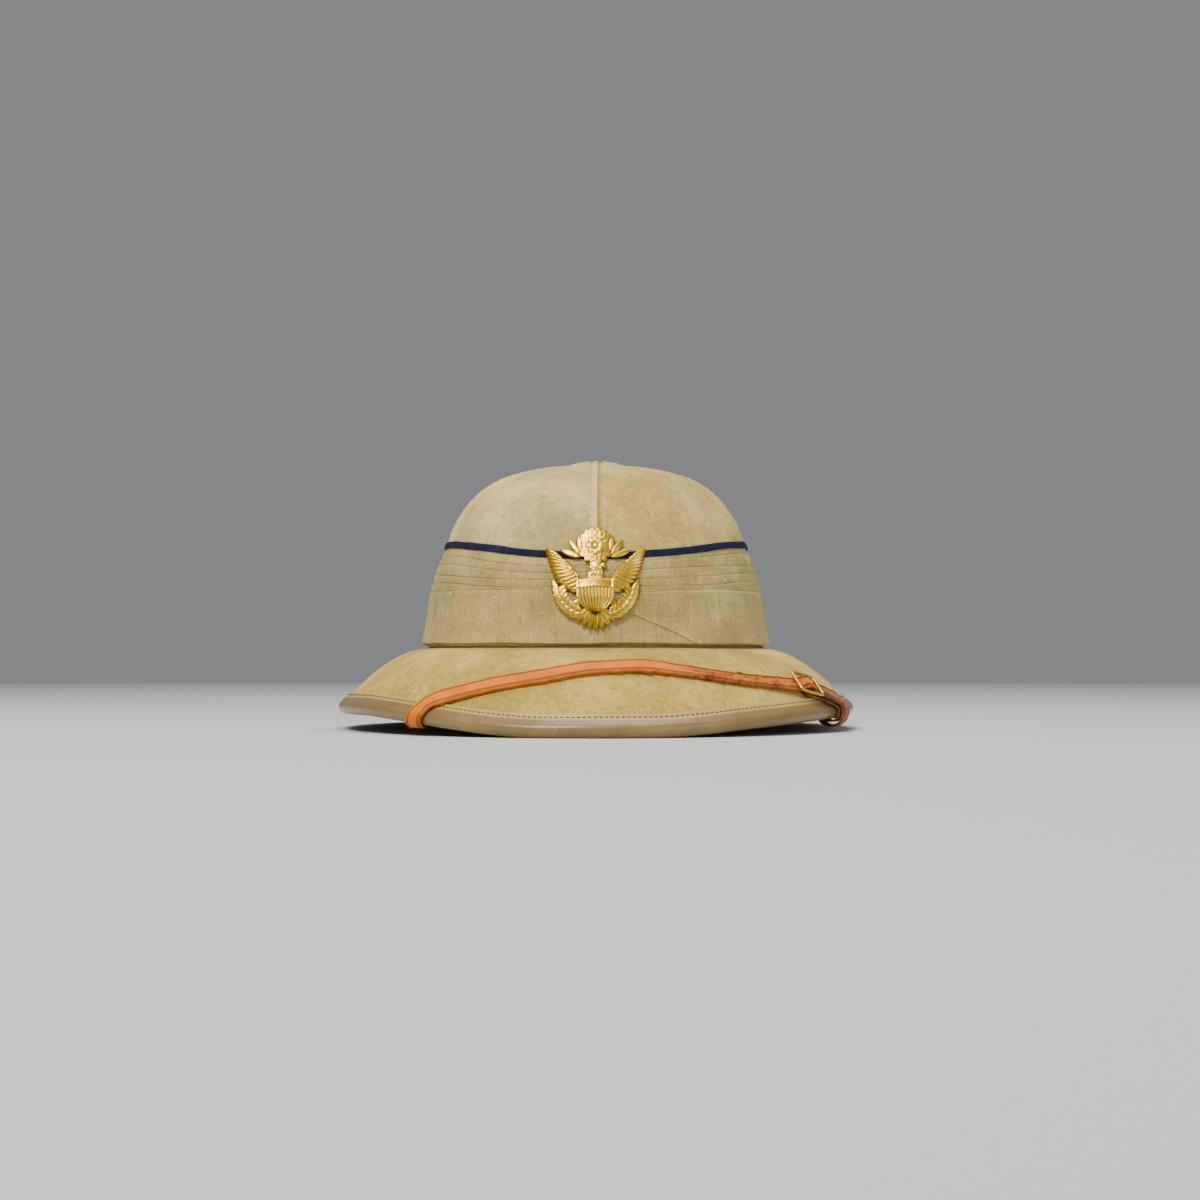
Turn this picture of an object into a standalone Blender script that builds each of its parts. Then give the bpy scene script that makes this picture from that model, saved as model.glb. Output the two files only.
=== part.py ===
"""Pith helmet: a moulded shell under cloth, a pleated cloth band, a bound brim, a chin strap and a badge.

The helmet faces -Y and rests on its brim at z = 0, with +Z up. Lengths are in metres.
An angle round the helmet is measured from the front towards +X.
"""
import math

import bmesh
import bpy
import numpy as np
from mathutils import Vector

# Overall sizes
BRIM_WIDTH = 0.280
BRIM_LENGTH = 0.334
CROWN_WIDTH = 0.183
CROWN_LENGTH = 0.215
CROWN_FORWARD = 0.004
JUNCTION_HEIGHT = 0.0435
CROWN_RISE = 0.1021

# Walls and gaps
SHELL_WALL = 0.003
CLOTH = 0.001
GAP = 0.0003

# Brim edge: its rolled rim, the lift of the sides above the resting plane, and the slope it ends with
RIM_RADIUS = 0.0039
EDGE_LIFT = 0.009
EDGE_SLOPE = math.radians(52)
DROP_SHARE = 0.15
BINDING_THICKNESS = 0.0006
BINDING_TOP = 0.0075
BINDING_UNDER = 0.006
BINDING_CHANNEL = 0.0015

# Cloth band: navy ribbon, narrow pleats and one broad fold
RIBBON_HEIGHT = 0.0985
RIBBON_DIP = 0.0090
RIBBON_DIP_SPAN = math.radians(78)
RIBBON_WIDTH = 0.0036
RIBBON_THICKNESS = 0.0010
FOLD_TOP = 0.0720
BAND_FOOT = 0.0015
PLEAT_COUNT = 5
PLEAT_TOP_LIFT = 0.0013
PLEAT_STEP = 0.0006
PLEAT_SAG = 0.00018
PLEAT_EDGE = 0.0004
FOLD_LIFT = 0.0034
LAP_CLOTH = 0.0008
LAP_TOP_ANGLE = math.radians(2)
LAP_FOOT_ANGLE = math.radians(30)
LAP_SIDES = 8

# Seams over the crown
SEAM_LEFT = 0.0034
SEAM_RIGHT = 0.0011
SEAM_THICKNESS = 0.0008
APEX_HOLE = 0.0016

# Chin strap, its buckle and its rivets
STRAP_WIDTH = 0.0105
STRAP_THICKNESS = 0.0014
SHORT_STRAP_THICKNESS = 0.0010
STRAP_LIFT = 0.0005
STRAP_UNDER_LIFT = 0.0009
ANCHOR_RISE = 0.016
BUCKLE_ANGLE = 53.8
BUCKLE_LENGTH = 0.0160
BUCKLE_WIDTH = 0.0142
BUCKLE_WIRE = 0.0010
BUCKLE_CLEARANCE = 0.0012
SHORT_STRAP_RETURN = 0.0008
RIVET_RADIUS = 0.0038
RIVET_THICKNESS = 0.0012

# Badge
BADGE_WIDTH = 0.051
BADGE_HEIGHT = 0.0525
BADGE_CENTRE = 0.0785
BADGE_BACK_LOW = 0.0049
BADGE_BACK_HIGH = 0.0016
BADGE_PLATE = 0.0008
BADGE_RELIEF = 0.0014

# Facets round the helmet, a multiple of four so that the seams fall on them
SIDES = 40
TURN = 2 * math.pi

# Crown section: share of the half width, share of the rise, from the top down
CROWN_ROWS = [
    (0.000, 1.000), (0.100, 0.989), (0.175, 0.972), (0.360, 0.951), (0.530, 0.914), (0.670, 0.847),
    (0.790, 0.733), (0.865, 0.600), (0.962, 0.250), (1.000, 0.000),
]

# Brim edge: degrees from the front towards +X, share of EDGE_LIFT
EDGE_ROWS = [
    (-180, 0.00), (-160, 0.00), (-120, 0.60), (-90, 0.88), (-60, 1.00), (-47, 0.82), (-38, 0.60), (-30, 0.38),
    (-22, 0.16), (-12, 0.00), (12, 0.00), (22, 0.14), (32, 0.37), (42, 0.55), (52, 0.69), (64, 0.79), (90, 0.86),
    (120, 0.60), (160, 0.00), (180, 0.00),
]

# Shares of the brim's width at which its sheets have a ring
BRIM_SHARES = (0.25, 0.5, 0.75)

# Long strap: degrees from the front, place on the section, share of the rise at the buckle
CHIN_ROWS = [
    (-80.0, 0.15, 0.00), (-79.5, 0.80, 0.00), (-78.5, 1.50, 0.00), (-76.0, 2.15, 0.00), (-66.0, 2.50, 0.00),
    (-50.0, 2.82, 0.00), (-41.5, 3.00, 0.00), (-39.5, 3.50, 0.00), (-38.0, 4.00, 0.00), (-36.5, 4.09, 0.00),
    (-32.0, 4.18, 0.00), (-24.0, 4.30, 0.00), (-12.0, 4.41, 0.05), (0.0, 4.50, 0.08), (11.0, 4.52, 0.10),
    (21.0, 4.458, 0.05), (33.0, 4.35, 0.00), (44.5, 4.272, 0.04), (51.1, 4.222, 0.21), (53.8, 4.187, 1.00),
    (56.4, 4.150, 0.44), (60.0, 4.08, 0.49), (62.6, 4.00, 0.53), (63.6, 3.50, 0.52), (64.0, 3.00, 0.49),
    (65.0, 2.86, 0.47),
]

# Short strap, up to the buckle's bar, with the same columns
SHORT_ROWS = [
    (80.0, 0.15, 0.00), (79.5, 0.80, 0.00), (78.5, 1.50, 0.00), (75.5, 2.20, 0.00), (68.0, 2.62, 0.00),
    (65.0, 2.86, 0.00), (64.0, 3.00, 0.02), (63.6, 3.50, 0.06), (62.6, 4.00, 0.07), (60.0, 4.08, 0.03),
    (56.4, 4.150, 0.00), (54.6, 4.176, 0.00),
]
STRAP_STEPS = 3

# Share of the brim's width where a strap starts to climb onto the binding, and the place up to which it hangs
CLIMB_SHARE = 0.7
HANG_PLACE = 3.2


def smooth_curve(positions, values, at):
    """Cubic curve through a table's rows that never swings past them."""
    x = np.asarray(positions, float)
    y = np.asarray(values, float)
    width = np.diff(x)
    slope = np.diff(y) / width
    product = slope[:-1] * slope[1:]
    total = np.where(product > 0, slope[:-1] + slope[1:], 1)
    middle = np.where(product > 0, 2 * product / total, 0)
    tangent = np.concatenate(([slope[0]], middle, [slope[-1]]))
    at = np.clip(at, x[0], x[-1])
    i = np.clip(np.searchsorted(x, at) - 1, 0, len(width) - 1)
    f = (at - x[i]) / width[i]
    start = (1 + 2 * f) * (1 - f) ** 2 * y[i] + f * (1 - f) ** 2 * width[i] * tangent[i]
    end = f * f * (3 - 2 * f) * y[i + 1] + f * f * (f - 1) * width[i] * tangent[i + 1]
    return start + end


def ease(value):
    """Smooth step from 0 to 1."""
    f = np.clip(value, 0, 1)
    return f * f * (3 - 2 * f)


def ring_angles(start=0, count=SIDES):
    return TURN / SIDES * (start + np.arange(count))


# The collection, the finishes and the ways of making a mesh
def new_collection(name):
    collection = bpy.data.collections.new(name)
    bpy.context.scene.collection.children.link(collection)
    return collection


def finish(name, colour, roughness, metallic=0.0):
    material = bpy.data.materials.new(name)
    material.use_nodes = True
    shader = material.node_tree.nodes["Principled BSDF"]
    shader.inputs["Base Color"].default_value = (*colour, 1)
    shader.inputs["Roughness"].default_value = roughness
    shader.inputs["Metallic"].default_value = metallic
    return material


def add_piece(name, vertices, faces, material, closed=True, sharp=35):
    """Link a mesh to the helmet, with its faces pointing out when it is a closed body."""
    mesh = bpy.data.meshes.new(name)
    mesh.from_pydata([tuple(map(float, v)) for v in vertices], [], faces)
    if closed:
        body = bmesh.new()
        body.from_mesh(mesh)
        bmesh.ops.recalc_face_normals(body, faces=body.faces)
        body.to_mesh(mesh)
        body.free()
    mesh.shade_smooth()
    mesh.set_sharp_from_angle(angle=math.radians(sharp))
    piece = bpy.data.objects.new(name, mesh)
    helmet.objects.link(piece)
    piece.parent = root
    piece.data.materials.append(material)
    return piece


def add_sheet(name, rows, material, thickness, around=True, pole=False):
    """Open sheet through rows of points, top row first, thickened inwards from its outer face.

    A pole is a first row drawn together into one point.
    """
    rows = np.asarray(rows)
    count = rows.shape[1]
    vertices = list(rows.reshape(-1, 3))
    faces = []
    for r in range(len(rows) - 1):
        for c in range(count if around else count - 1):
            n = (c + 1) % count
            faces.append((r * count + c, (r + 1) * count + c, (r + 1) * count + n, r * count + n))
    if pole:
        vertices = vertices[count - 1:]
        vertices[0] = rows[0, 0]
        fan = [(0, 1 + c, 1 + (c + 1) % count) for c in range(count)]
        faces = fan + [tuple(v - count + 1 for v in face) for face in faces[count:]]
    piece = add_piece(name, vertices, faces, material, closed=False)
    wall = piece.modifiers.new("wall", "SOLIDIFY")
    wall.thickness = thickness
    wall.offset = -1
    wall.use_even_offset = True
    return piece


def add_loft(name, sections, material, closed=False, sharp=35):
    """Solid lofted through closed outlines with as many points each. It ends in caps or meets its start."""
    sections = np.asarray(sections)
    stations, count = sections.shape[:2]
    faces = []
    for s in range(stations if closed else stations - 1):
        t = (s + 1) % stations
        for c in range(count):
            n = (c + 1) % count
            faces.append((s * count + c, t * count + c, t * count + n, s * count + n))
    if not closed:
        faces.append(tuple(range(count)))
        faces.append(tuple((stations - 1) * count + c for c in reversed(range(count))))
    return add_piece(name, sections.reshape(-1, 3), faces, material, sharp=sharp)


# The helmet's surfaces
def crown_ring(radius_share, height_share, angles, lift=0.0):
    """Oval of the crown. Its half axes and rise all grow by lift, which keeps a nearly even distance."""
    across = (CROWN_WIDTH / 2 + lift) * radius_share
    along = (CROWN_LENGTH / 2 + lift) * radius_share
    height = JUNCTION_HEIGHT + (CROWN_RISE + lift) * height_share + 0 * angles
    return np.stack([across * np.sin(angles), -CROWN_FORWARD - along * np.cos(angles), height], -1)


def radius_at(height):
    """Share of the crown's half width at a height, on the straight lines between its rings."""
    shares = (np.asarray(height) - JUNCTION_HEIGHT) / CROWN_RISE
    return np.interp(shares, [h for _, h in reversed(CROWN_ROWS)], [r for r, _ in reversed(CROWN_ROWS)])


def wall_point(angles, height, lift=0.0):
    """Point outside the crown's wall, with a sideways lift from it."""
    share = radius_at(height)
    across = CROWN_WIDTH / 2 * share + lift
    along = CROWN_LENGTH / 2 * share + lift
    return np.stack([across * np.sin(angles), -CROWN_FORWARD - along * np.cos(angles), height + 0 * angles], -1)


def top_point(x, y, lift):
    """Point over the crown, looked up from its place in plan."""
    across = CROWN_WIDTH / 2 + lift
    along = CROWN_LENGTH / 2 + lift
    share = np.hypot(x / across, (y + CROWN_FORWARD) / along)
    height = np.interp(share, [r for r, _ in CROWN_ROWS], [h for _, h in CROWN_ROWS])
    return np.stack([x + 0 * share, y + 0 * share, JUNCTION_HEIGHT + (CROWN_RISE + lift) * height], -1)


STACK = CLOTH + GAP + SHELL_WALL
RIM_FACET = math.radians(30)
RIM_REACH = RIM_RADIUS * math.cos(RIM_FACET / 2)
RIM_CORNERS = 9
RIM_START = 2.5 * RIM_FACET


def edge_frame(angles):
    """Rim's centre, direction down the brim, and direction out of its top, at each angle."""
    across = BRIM_WIDTH / 2 - RIM_REACH
    along = BRIM_LENGTH / 2 - RIM_REACH
    outward = np.stack([np.sin(angles) / across, -np.cos(angles) / along, 0 * angles], -1)
    outward /= np.linalg.norm(outward, axis=-1, keepdims=True)
    degrees = (np.degrees(angles) + 180) % 360 - 180
    lift = EDGE_LIFT * smooth_curve([a for a, _ in EDGE_ROWS], [s for _, s in EDGE_ROWS], degrees)
    centre = np.stack([across * np.sin(angles), -along * np.cos(angles), RIM_REACH + lift], -1)
    up = np.array([0.0, 0.0, 1.0])
    down_slope = outward * math.cos(EDGE_SLOPE) - up * math.sin(EDGE_SLOPE)
    normal = outward * math.sin(EDGE_SLOPE) + up * math.cos(EDGE_SLOPE)
    return centre, down_slope, normal, outward


def edge_point(angles, inset, depth):
    """Point a distance in from the rim's centre along the brim, and a depth below the brim's cloth."""
    centre, down_slope, normal, _ = edge_frame(angles)
    return centre - down_slope * inset + normal * (STACK / 2 - depth)


def brim_frame(angles, share):
    """Point on the brim's cloth and the direction out of it. The brim falls ever more steeply outwards."""
    edge = edge_point(angles, 0, 0)
    outward = edge_frame(angles)[3]
    foot = crown_ring(1, 0, angles)
    run = np.linalg.norm((edge - foot)[..., :2], axis=-1)
    fall = foot[..., 2] - edge[..., 2]
    drop = DROP_SHARE * share + (1 - DROP_SHARE) * share ** 2
    steep = np.arctan2(fall * (DROP_SHARE + 2 * (1 - DROP_SHARE) * share), run)[..., None]
    point = foot + (edge - foot) * np.array([share, share, drop])
    return point, outward * np.sin(steep) + np.array([0.0, 0.0, 1.0]) * np.cos(steep)


def brim_rings(angles, depth):
    """Rings of a sheet that lies a depth below the top of the brim, from the crown to inside the binding."""
    rings = []
    for share in BRIM_SHARES:
        point, normal = brim_frame(angles, share)
        rings.append(point - normal * depth)
    rings.append(edge_point(angles, BINDING_TOP + CLOTH, depth))
    rings.append(edge_point(angles, BINDING_CHANNEL + GAP, depth))
    return rings


# Shell, cloth and seams
def build_shell(material):
    angles = ring_angles()
    inset = CLOTH + GAP
    rows = [crown_ring(r, h, angles, -inset) for r, h in CROWN_ROWS]
    rows[-1][:, 2] -= inset
    add_sheet("shell", rows + brim_rings(angles, inset), material, SHELL_WALL, pole=True)


def build_crown_panel(name, quarter, material):
    """One of four gores. Its sides keep half a gap to the seams' lines, and its tip stops short of the top."""
    quarter_sides = SIDES // 4
    angles = ring_angles(quarter * quarter_sides, quarter_sides + 1)
    tip = 2 * APEX_HOLE / CROWN_WIDTH
    first = np.interp(tip, [r for r, _ in CROWN_ROWS], [h for _, h in CROWN_ROWS])
    rows = []
    for radius, height in [(tip, first)] + CROWN_ROWS[1:-1] + [(1.0, GAP / CROWN_RISE)]:
        spread = angles.copy()
        trim = GAP / CROWN_WIDTH / radius
        spread[0] += trim
        spread[-1] -= trim
        rows.append(crown_ring(radius, height, spread))
    add_sheet(name, rows, material, CLOTH, around=False)


def seam_sections(places, sideways, along_y):
    """Outlines of a flat strip over the crown, at places along it."""
    sections = []
    for place in places:
        across = np.array(sideways)
        x, y = (across, place + 0 * across) if along_y else (place + 0 * across, across - CROWN_FORWARD)
        under = top_point(x, y, GAP)
        over = top_point(x, y, GAP + SEAM_THICKNESS)
        sections.append(np.concatenate([under, over[::-1]]))
    return sections


def build_seams(material):
    """One lapped seam from front to back over the top, and one down each side from it."""
    shares = [r for r, _ in CROWN_ROWS]
    sideways = (-SEAM_LEFT, 0.0, SEAM_RIGHT)
    ends = []
    for angle in (0.0, math.pi):
        ends.append(float(radius_at(ribbon_top(angle) + GAP)))
    half = CROWN_LENGTH / 2
    front = [-half * ends[0]] + [-half * r for r in reversed(shares) if r < ends[0]]
    back = [half * r for r in shares[1:] if r < ends[1]] + [half * ends[1]]
    places = [y - CROWN_FORWARD for y in front + back]
    add_loft("seam_front_back", seam_sections(places, sideways, True), material)
    for name, side, inner in (("seam_side_left", -1, SEAM_LEFT + GAP), ("seam_side_right", 1, SEAM_RIGHT + GAP)):
        half = CROWN_WIDTH / 2
        end = float(radius_at(ribbon_top(math.pi / 2) + GAP))
        places = [side * inner] + [side * half * r for r in shares if inner / half < r < end] + [side * half * end]
        add_loft(name, seam_sections(places, sideways, False), material)


def build_brim_cover(material):
    angles = ring_angles()
    inner = crown_ring(1, 0, angles, -CLOTH)
    add_sheet("brim_cover", [inner] + brim_rings(angles, 0), material, CLOTH)


# Cloth band round the crown
def ribbon_line(angles):
    """Height of the ribbon's middle, which dips towards the front."""
    turned = np.abs((np.asarray(angles) + math.pi) % TURN - math.pi)
    dip = (1 + np.cos(math.pi * np.clip(turned / RIBBON_DIP_SPAN, 0, 1))) / 2
    return RIBBON_HEIGHT - RIBBON_DIP * dip


def ribbon_top(angles):
    return ribbon_line(angles) + RIBBON_WIDTH / 2


def build_ribbon(material):
    angles = ring_angles()
    middle = ribbon_line(angles)
    low, high = middle - RIBBON_WIDTH / 2, middle + RIBBON_WIDTH / 2
    outer = GAP + RIBBON_THICKNESS
    outline = [wall_point(angles, z, lift) for z, lift in ((low, GAP), (low, outer), (high, outer), (high, GAP))]
    add_loft("ribbon", np.stack(outline, 1), material, closed=True)


def build_pleated_band(material):
    """Narrow pleats like shingles: each one's upper edge stands on the pleat above it."""
    angles = ring_angles()
    top = ribbon_line(angles) - RIBBON_WIDTH / 2 - GAP
    foot = FOLD_TOP + GAP
    outline = [wall_point(angles, top, GAP)]
    lift = PLEAT_TOP_LIFT
    for pleat in range(PLEAT_COUNT):
        upper = top + (foot - top) * pleat / PLEAT_COUNT
        lower = top + (foot - top) * (pleat + 1) / PLEAT_COUNT
        outline.append(wall_point(angles, upper, lift))
        lift -= PLEAT_SAG
        last = pleat == PLEAT_COUNT - 1
        outline.append(wall_point(angles, lower if last else lower + PLEAT_EDGE, lift))
        lift += PLEAT_STEP
    outline.append(wall_point(angles, foot, GAP))
    add_loft("pleated_band", np.stack(outline, 1), material, closed=True, sharp=25)


# Broad fold: share of its height from the top, outer lift as a share of FOLD_LIFT
FOLD_ROWS = [(0.0, 1.00), (0.12, 0.97), (0.5, 0.86), (0.8, 1.00), (1.0, 1.24)]


def build_band_fold(material):
    """Broad lower fold, whose foot stands out from the crown."""
    angles = ring_angles()
    foot = JUNCTION_HEIGHT + BAND_FOOT
    outline = []
    for share, lift in FOLD_ROWS:
        outline.append(wall_point(angles, FOLD_TOP + (foot - FOLD_TOP) * share, FOLD_LIFT * lift))
    for share in (1.0, 0.12, 0.0):
        outline.append(wall_point(angles, FOLD_TOP + (foot - FOLD_TOP) * share, GAP))
    add_loft("band_fold", np.stack(outline, 1), material, closed=True)


def build_band_end(material):
    """End of the band, lapped over the broad fold. Its free edge slants down across the front."""
    angles = ring_angles(0, LAP_SIDES + 1)
    foot = JUNCTION_HEIGHT + BAND_FOOT
    outline = []
    for share, lift in FOLD_ROWS:
        outline.append(wall_point(angles, FOLD_TOP + (foot - FOLD_TOP) * share, FOLD_LIFT * lift + GAP + LAP_CLOTH))
    for share, lift in reversed(FOLD_ROWS):
        outline.append(wall_point(angles, FOLD_TOP + (foot - FOLD_TOP) * share, FOLD_LIFT * lift + GAP))
    end = add_loft("band_end", np.stack(outline, 1), material)
    reach = CROWN_WIDTH / 2 + FOLD_LIFT
    top = reach * math.sin(LAP_TOP_ANGLE)
    slant = (reach * math.sin(LAP_FOOT_ANGLE) - top) / (FOLD_TOP - foot)
    above, below = FOLD_TOP + FOLD_LIFT, foot - FOLD_LIFT
    edge_above = top - slant * (above - FOLD_TOP)
    edge_below = top + slant * (FOLD_TOP - below)
    outline = [(-reach, above), (-reach, below), (edge_below, below), (edge_above, above)]
    sections = [[(x, y, z) for x, z in outline] for y in (-CROWN_LENGTH, 0.0)]
    slanted = add_loft("band_end_trim", sections, material)
    helmet.objects.unlink(slanted)
    cutters.objects.link(slanted)
    slanted.hide_render = True
    slanted.display_type = "WIRE"
    trim = end.modifiers.new("slanted_edge", "BOOLEAN")
    trim.operation = "DIFFERENCE"
    trim.object = slanted


# Brim edge
def build_binding(material):
    """Folded strip that grips the brim's edge, with a rolled rim. A facet of the rim lies flat underneath."""
    angles = ring_angles()
    centre, down_slope, normal, outward = edge_frame(angles)
    up = np.array([0.0, 0.0, 1.0])
    inner = STACK / 2 + GAP
    outer = inner + BINDING_THICKNESS

    def local(along, above):
        return centre + down_slope * along + normal * above

    outline = [local(-BINDING_TOP, outer)]
    for step in range(RIM_CORNERS):
        turn = RIM_START - RIM_FACET * step
        outline.append(centre + RIM_RADIUS * (outward * math.cos(turn) + up * math.sin(turn)))
    outline.append(local(-BINDING_UNDER, -outer))
    outline.append(local(-BINDING_UNDER, -inner))
    outline.append(local(-BINDING_CHANNEL, -inner))
    outline.append(local(-BINDING_CHANNEL, inner))
    outline.append(local(-BINDING_TOP, inner))
    add_loft("edge_binding", np.stack(outline, 1), material, closed=True)


# Chin strap
def section_point(degrees, place, lift):
    """Point and outward direction on the helmet's section at an angle, and a lift off its surface.

    place runs from 0 to 1 down the crown's inner wall, to 2 round its corner, to 3 out under the brim,
    to 4 round the rolled rim, and to 5 in over the brim to the crown.
    """
    angle = np.array(math.radians(degrees))
    centre, down_slope, normal, outward = edge_frame(angle)
    up = np.array([0.0, 0.0, 1.0])
    part = min(int(place), 4)
    f = place - part
    if part == 0:
        height = JUNCTION_HEIGHT + ANCHOR_RISE * (1 - f) - STACK * f
        return wall_point(angle, height, -STACK - lift), -outward
    if part == 1:
        out = -outward * math.cos(f * math.pi / 2) - up * math.sin(f * math.pi / 2)
        corner = wall_point(angle, JUNCTION_HEIGHT, -STACK)
        return corner - up * STACK + out * lift, out
    if part == 3:
        out = down_slope * math.sin(math.pi * f) - normal * math.cos(math.pi * f)
        return centre + out * (RIM_RADIUS + lift), out
    share = f if part == 2 else 1 - f
    over_binding = (RIM_RADIUS - STACK / 2) * float(ease((share - CLIMB_SHARE) / (1 - CLIMB_SHARE)))
    point, out = brim_frame(angle, share)
    if part == 2:
        return point - out * (STACK + lift + over_binding), -out
    return point + out * (lift + over_binding), out


def strap_stations(rows, thickness, buckle_rise):
    """Middle, sideways direction and outward direction of a strap at each station along its rows."""
    table = np.array(rows)
    steps = np.linspace(0, len(rows) - 1, (len(rows) - 1) * STRAP_STEPS + 1)
    columns = [smooth_curve(np.arange(len(rows)), table[:, c], steps) for c in range(3)]
    middles, outs = [], []
    for degrees, place, rise in zip(*columns):
        clear = STRAP_LIFT + (STRAP_UNDER_LIFT - STRAP_LIFT) * float(ease(HANG_PLACE - place))
        lift = clear + (buckle_rise - clear) * rise + thickness / 2
        point, out = section_point(float(degrees), float(place), lift)
        middles.append(point)
        outs.append(out)
    middles = np.array(middles)
    run = np.gradient(middles, axis=0)
    run /= np.linalg.norm(run, axis=1, keepdims=True)
    side = np.cross(run, np.array(outs))
    side /= np.linalg.norm(side, axis=1, keepdims=True)
    return middles, side, np.cross(side, run)


def strap_solid(name, middles, side, out, thickness, material):
    sections = []
    for m, s, o in zip(middles, side, out):
        half = s * STRAP_WIDTH / 2
        rise = o * thickness / 2
        sections.append([m - half - rise, m + half - rise, m + half + rise, m - half + rise])
    add_loft(name, sections, material)


def build_rivet(name, stations, thickness, material):
    """Plain rivet head on the inside of a strap's end, one step in from the end."""
    middle, _, out = (column[1] for column in stations)
    bpy.ops.mesh.primitive_cylinder_add(vertices=12, radius=RIVET_RADIUS, depth=RIVET_THICKNESS)
    rivet = bpy.context.object
    rivet.name = name
    for collection in list(rivet.users_collection):
        collection.objects.unlink(rivet)
    helmet.objects.link(rivet)
    rivet.location = Vector(map(float, middle + out * (thickness / 2 + GAP + RIVET_THICKNESS / 2)))
    rivet.rotation_euler = Vector(map(float, out)).to_track_quat("Z", "Y").to_euler()
    rivet.parent = root
    rivet.data.materials.append(material)


def buckle_frame():
    """Buckle's middle on the brim's cloth, the strap's run there, its sideways direction and its outward one."""
    row = [r[0] for r in CHIN_ROWS].index(BUCKLE_ANGLE)
    ahead, here, behind = (section_point(*CHIN_ROWS[i][:2], 0) for i in (row + 1, row, row - 1))
    out = here[1]
    run = ahead[0] - behind[0]
    run = run - out * float(run @ out)
    run /= np.linalg.norm(run)
    return here[0], run, np.cross(run, out), out


def build_straps(long_material, short_material, rivet_material):
    """The long strap weaves through the buckle. The short one is folded round the buckle's middle bar."""
    fold_radius = BUCKLE_WIRE / 2 + GAP + SHORT_STRAP_THICKNESS / 2
    bar_height = STRAP_LIFT + SHORT_STRAP_THICKNESS / 2 + fold_radius
    buckle_rise = bar_height + fold_radius + SHORT_STRAP_THICKNESS / 2 + BUCKLE_CLEARANCE
    stations = strap_stations(CHIN_ROWS, STRAP_THICKNESS, buckle_rise)
    strap_solid("chin_strap", *stations, STRAP_THICKNESS, long_material)
    build_rivet("strap_rivet_left", stations, STRAP_THICKNESS, rivet_material)
    stations = strap_stations(SHORT_ROWS, SHORT_STRAP_THICKNESS, buckle_rise)
    build_rivet("strap_rivet_right", stations, SHORT_STRAP_THICKNESS, rivet_material)
    middles, side, out = stations
    origin, run, across, normal = buckle_frame()
    bar = origin + normal * bar_height
    fold_middles, fold_out = [], []
    for step in range(5):
        turn = math.pi * step / 4
        towards_bar = run * math.sin(turn) + normal * math.cos(turn)
        fold_middles.append(bar - towards_bar * fold_radius)
        fold_out.append(towards_bar)
    fold_middles.append(fold_middles[-1] + run * SHORT_STRAP_RETURN)
    fold_out.append(-normal)
    fold_side = np.cross(-run, normal)
    middles = np.concatenate([middles, fold_middles])
    side = np.concatenate([side, [fold_side] * len(fold_middles)])
    out = np.concatenate([out, fold_out])
    strap_solid("buckle_strap", middles, side, out, SHORT_STRAP_THICKNESS, short_material)
    return bar_height, buckle_rise


def wire(name, points, cyclic, material):
    """Bent wire along points, as a mesh with its caps closed."""
    curve = bpy.data.curves.new(name, "CURVE")
    curve.dimensions = "3D"
    curve.bevel_depth = BUCKLE_WIRE / 2
    curve.bevel_resolution = 2
    curve.use_fill_caps = not cyclic
    spline = curve.splines.new("POLY")
    spline.points.add(len(points) - 1)
    for point, place in zip(spline.points, points):
        point.co = (*map(float, place), 1)
    spline.use_cyclic_u = cyclic
    bent = bpy.data.objects.new(name, curve)
    helmet.objects.link(bent)
    bpy.context.view_layer.update()
    mesh = bpy.data.meshes.new_from_object(bent.evaluated_get(bpy.context.evaluated_depsgraph_get()))
    body = bmesh.new()
    body.from_mesh(mesh)
    bmesh.ops.remove_doubles(body, verts=body.verts, dist=1e-6)
    bmesh.ops.recalc_face_normals(body, faces=body.faces)
    body.to_mesh(mesh)
    body.free()
    bpy.data.objects.remove(bent)
    piece = bpy.data.objects.new(name, mesh)
    piece.data.materials.clear()
    piece.data.materials.append(material)
    return piece


def build_buckle(bar_height, buckle_rise, material):
    """Slide buckle: a wire frame whose ends pass over the strap, with a bar across its middle under the strap."""
    origin, run, across, normal = buckle_frame()
    row = [r[0] for r in CHIN_ROWS].index(BUCKLE_ANGLE)
    over_strap = STRAP_LIFT + STRAP_THICKNESS + BUCKLE_CLEARANCE
    left_height = over_strap + (buckle_rise - STRAP_LIFT) * CHIN_ROWS[row - 1][2]
    right_height = over_strap + (buckle_rise - STRAP_LIFT) * CHIN_ROWS[row + 1][2]
    half_length = BUCKLE_LENGTH / 2
    half_width = BUCKLE_WIDTH / 2 - BUCKLE_WIRE / 2
    corner = BUCKLE_WIRE

    def place(along, sideways, height):
        return origin + run * along + across * sideways + normal * height

    loop = []
    for end, height in ((-1, left_height), (1, right_height)):
        for side in (end, -end):
            corner_points = [
                place(end * (half_length - corner), side * half_width, height),
                place(end * half_length, side * (half_width - corner), height),
            ]
            loop += corner_points if side == end else corner_points[::-1]
        loop.append(place(0, -end * half_width, bar_height))
    frame = wire("buckle", loop, True, material)
    bar = wire("buckle_bar", [place(0, -half_width, bar_height), place(0, half_width, bar_height)], False, material)
    cutters.objects.link(bar)
    bar.hide_render = True
    bar.display_type = "WIRE"
    helmet.objects.link(frame)
    frame.parent = root
    joined = frame.modifiers.new("bar", "BOOLEAN")
    joined.operation = "UNION"
    joined.object = bar
    frame.data.shade_smooth()
    frame.data.set_sharp_from_angle(angle=math.radians(40))


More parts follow.
